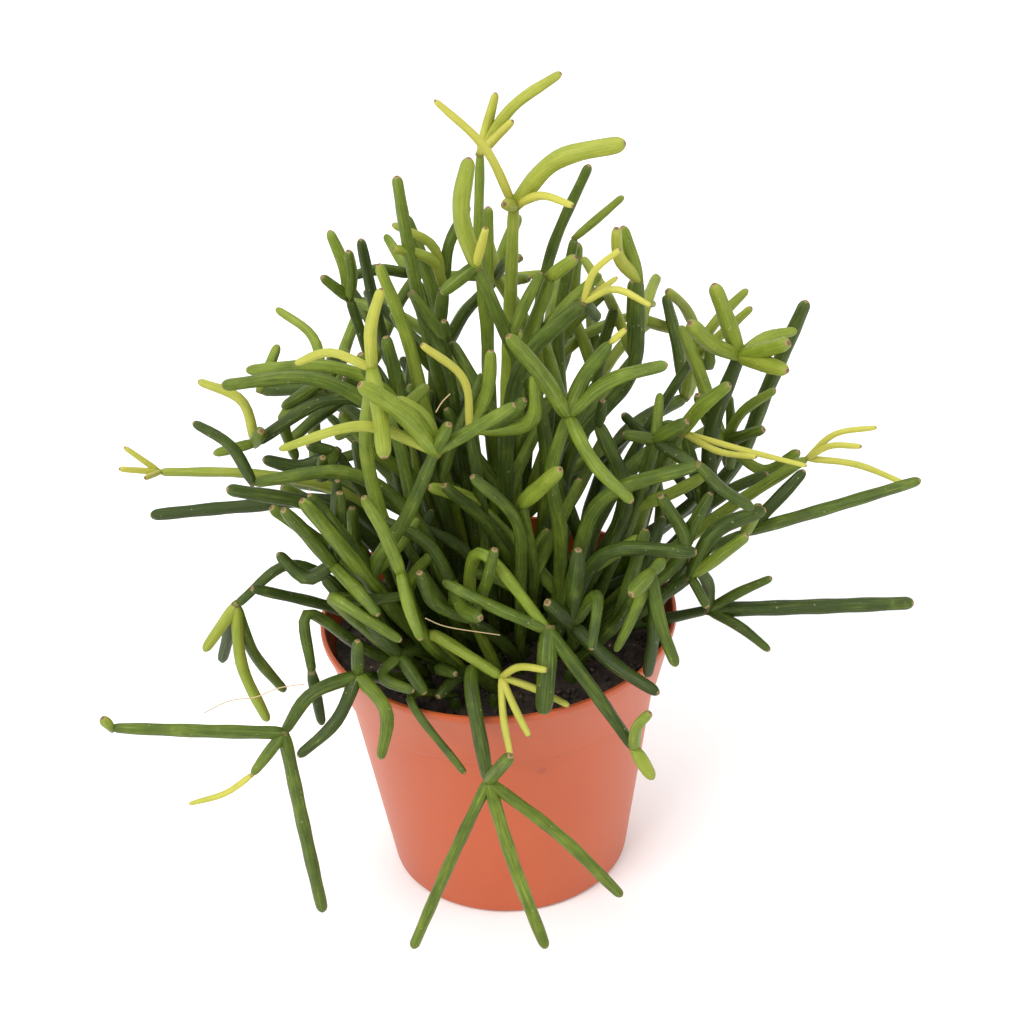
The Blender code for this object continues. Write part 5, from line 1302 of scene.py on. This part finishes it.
class CACTUS_OT_studio(bpy.types.Operator):
    """Set the pale floor, the soft lights and the camera"""
    bl_idname = "cactus.studio"
    bl_label = "Studio"

    def execute(self, context):
        settings = context.scene.cactus_studio
        clear_selection()
        bpy.ops.mesh.primitive_plane_add(size=FLOOR_SIDE, location=(0, 0, -FLOOR_DROP))
        floor = bpy.context.object
        floor.name = "floor"
        floor.data.materials.append(plain_finish("pale floor", tuple(settings.floor), 0.7))
        for name, (share, size, place) in LIGHTS.items():
            area_light(name, settings.power * share, size, place)
        world = bpy.data.worlds.new("white room")
        context.scene.world = world
        world.use_nodes = True
        back = world.node_tree.nodes["Background"]
        back.inputs["Color"].default_value = (1.0, 1.0, 1.0, 1.0)
        back.inputs["Strength"].default_value = ROOM_STRENGTH
        data = bpy.data.cameras.new("camera")
        data.sensor_width = SENSOR
        data.lens = FOCAL / PICTURE_SIDE * SENSOR
        data.clip_end = FAR_LIMIT
        camera = bpy.data.objects.new("camera", data)
        context.scene.collection.objects.link(camera)
        turn = Matrix((RIGHT, UP, -AHEAD)).transposed()
        camera.matrix_world = Matrix.Translation(EYE * MM) @ turn.to_4x4()
        context.scene.camera = camera
        context.scene.view_settings.view_transform = "Standard"
        return {"FINISHED"}


class CACTUS_PT_panel(bpy.types.Panel):
    """The plant's pieces and their settings"""
    bl_idname = "CACTUS_PT_panel"
    bl_label = "Potted mistletoe cactus"
    bl_space_type = "VIEW_3D"
    bl_region_type = "UI"
    bl_category = "Cactus"

    def draw(self, context):
        for settings, operator, names in (
                (context.scene.cactus_pot, "cactus.pot", ("sides", "colour")),
                (context.scene.cactus_soil, "cactus.soil", ("crumbs", "colour")),
                (context.scene.cactus_stems, "cactus.stems", ("sides", "spacing", "old", "young", "cork")),
                (context.scene.cactus_studio, "cactus.studio", ("floor", "power"))):
            box = self.layout.box()
            for name in names:
                box.prop(settings, name)
            box.operator(operator)
        self.layout.operator("cactus.roots")


CLASSES = (StemSettings, PotSettings, SoilSettings, StudioSettings, CACTUS_OT_pot, CACTUS_OT_soil,
           CACTUS_OT_stems, CACTUS_OT_roots, CACTUS_OT_studio, CACTUS_PT_panel)


def register():
    for cls in CLASSES:
        bpy.utils.register_class(cls)
    bpy.types.Scene.cactus_stems = PointerProperty(type=StemSettings)
    bpy.types.Scene.cactus_pot = PointerProperty(type=PotSettings)
    bpy.types.Scene.cactus_soil = PointerProperty(type=SoilSettings)
    bpy.types.Scene.cactus_studio = PointerProperty(type=StudioSettings)


def unregister():
    del bpy.types.Scene.cactus_studio, bpy.types.Scene.cactus_soil
    del bpy.types.Scene.cactus_pot, bpy.types.Scene.cactus_stems
    for cls in reversed(CLASSES):
        bpy.utils.unregister_class(cls)


def main():
    register()
    bpy.ops.cactus.pot()
    bpy.ops.cactus.soil()
    bpy.ops.cactus.stems()
    bpy.ops.cactus.roots()
    bpy.ops.cactus.studio()


if __name__ == "__main__":
    main()
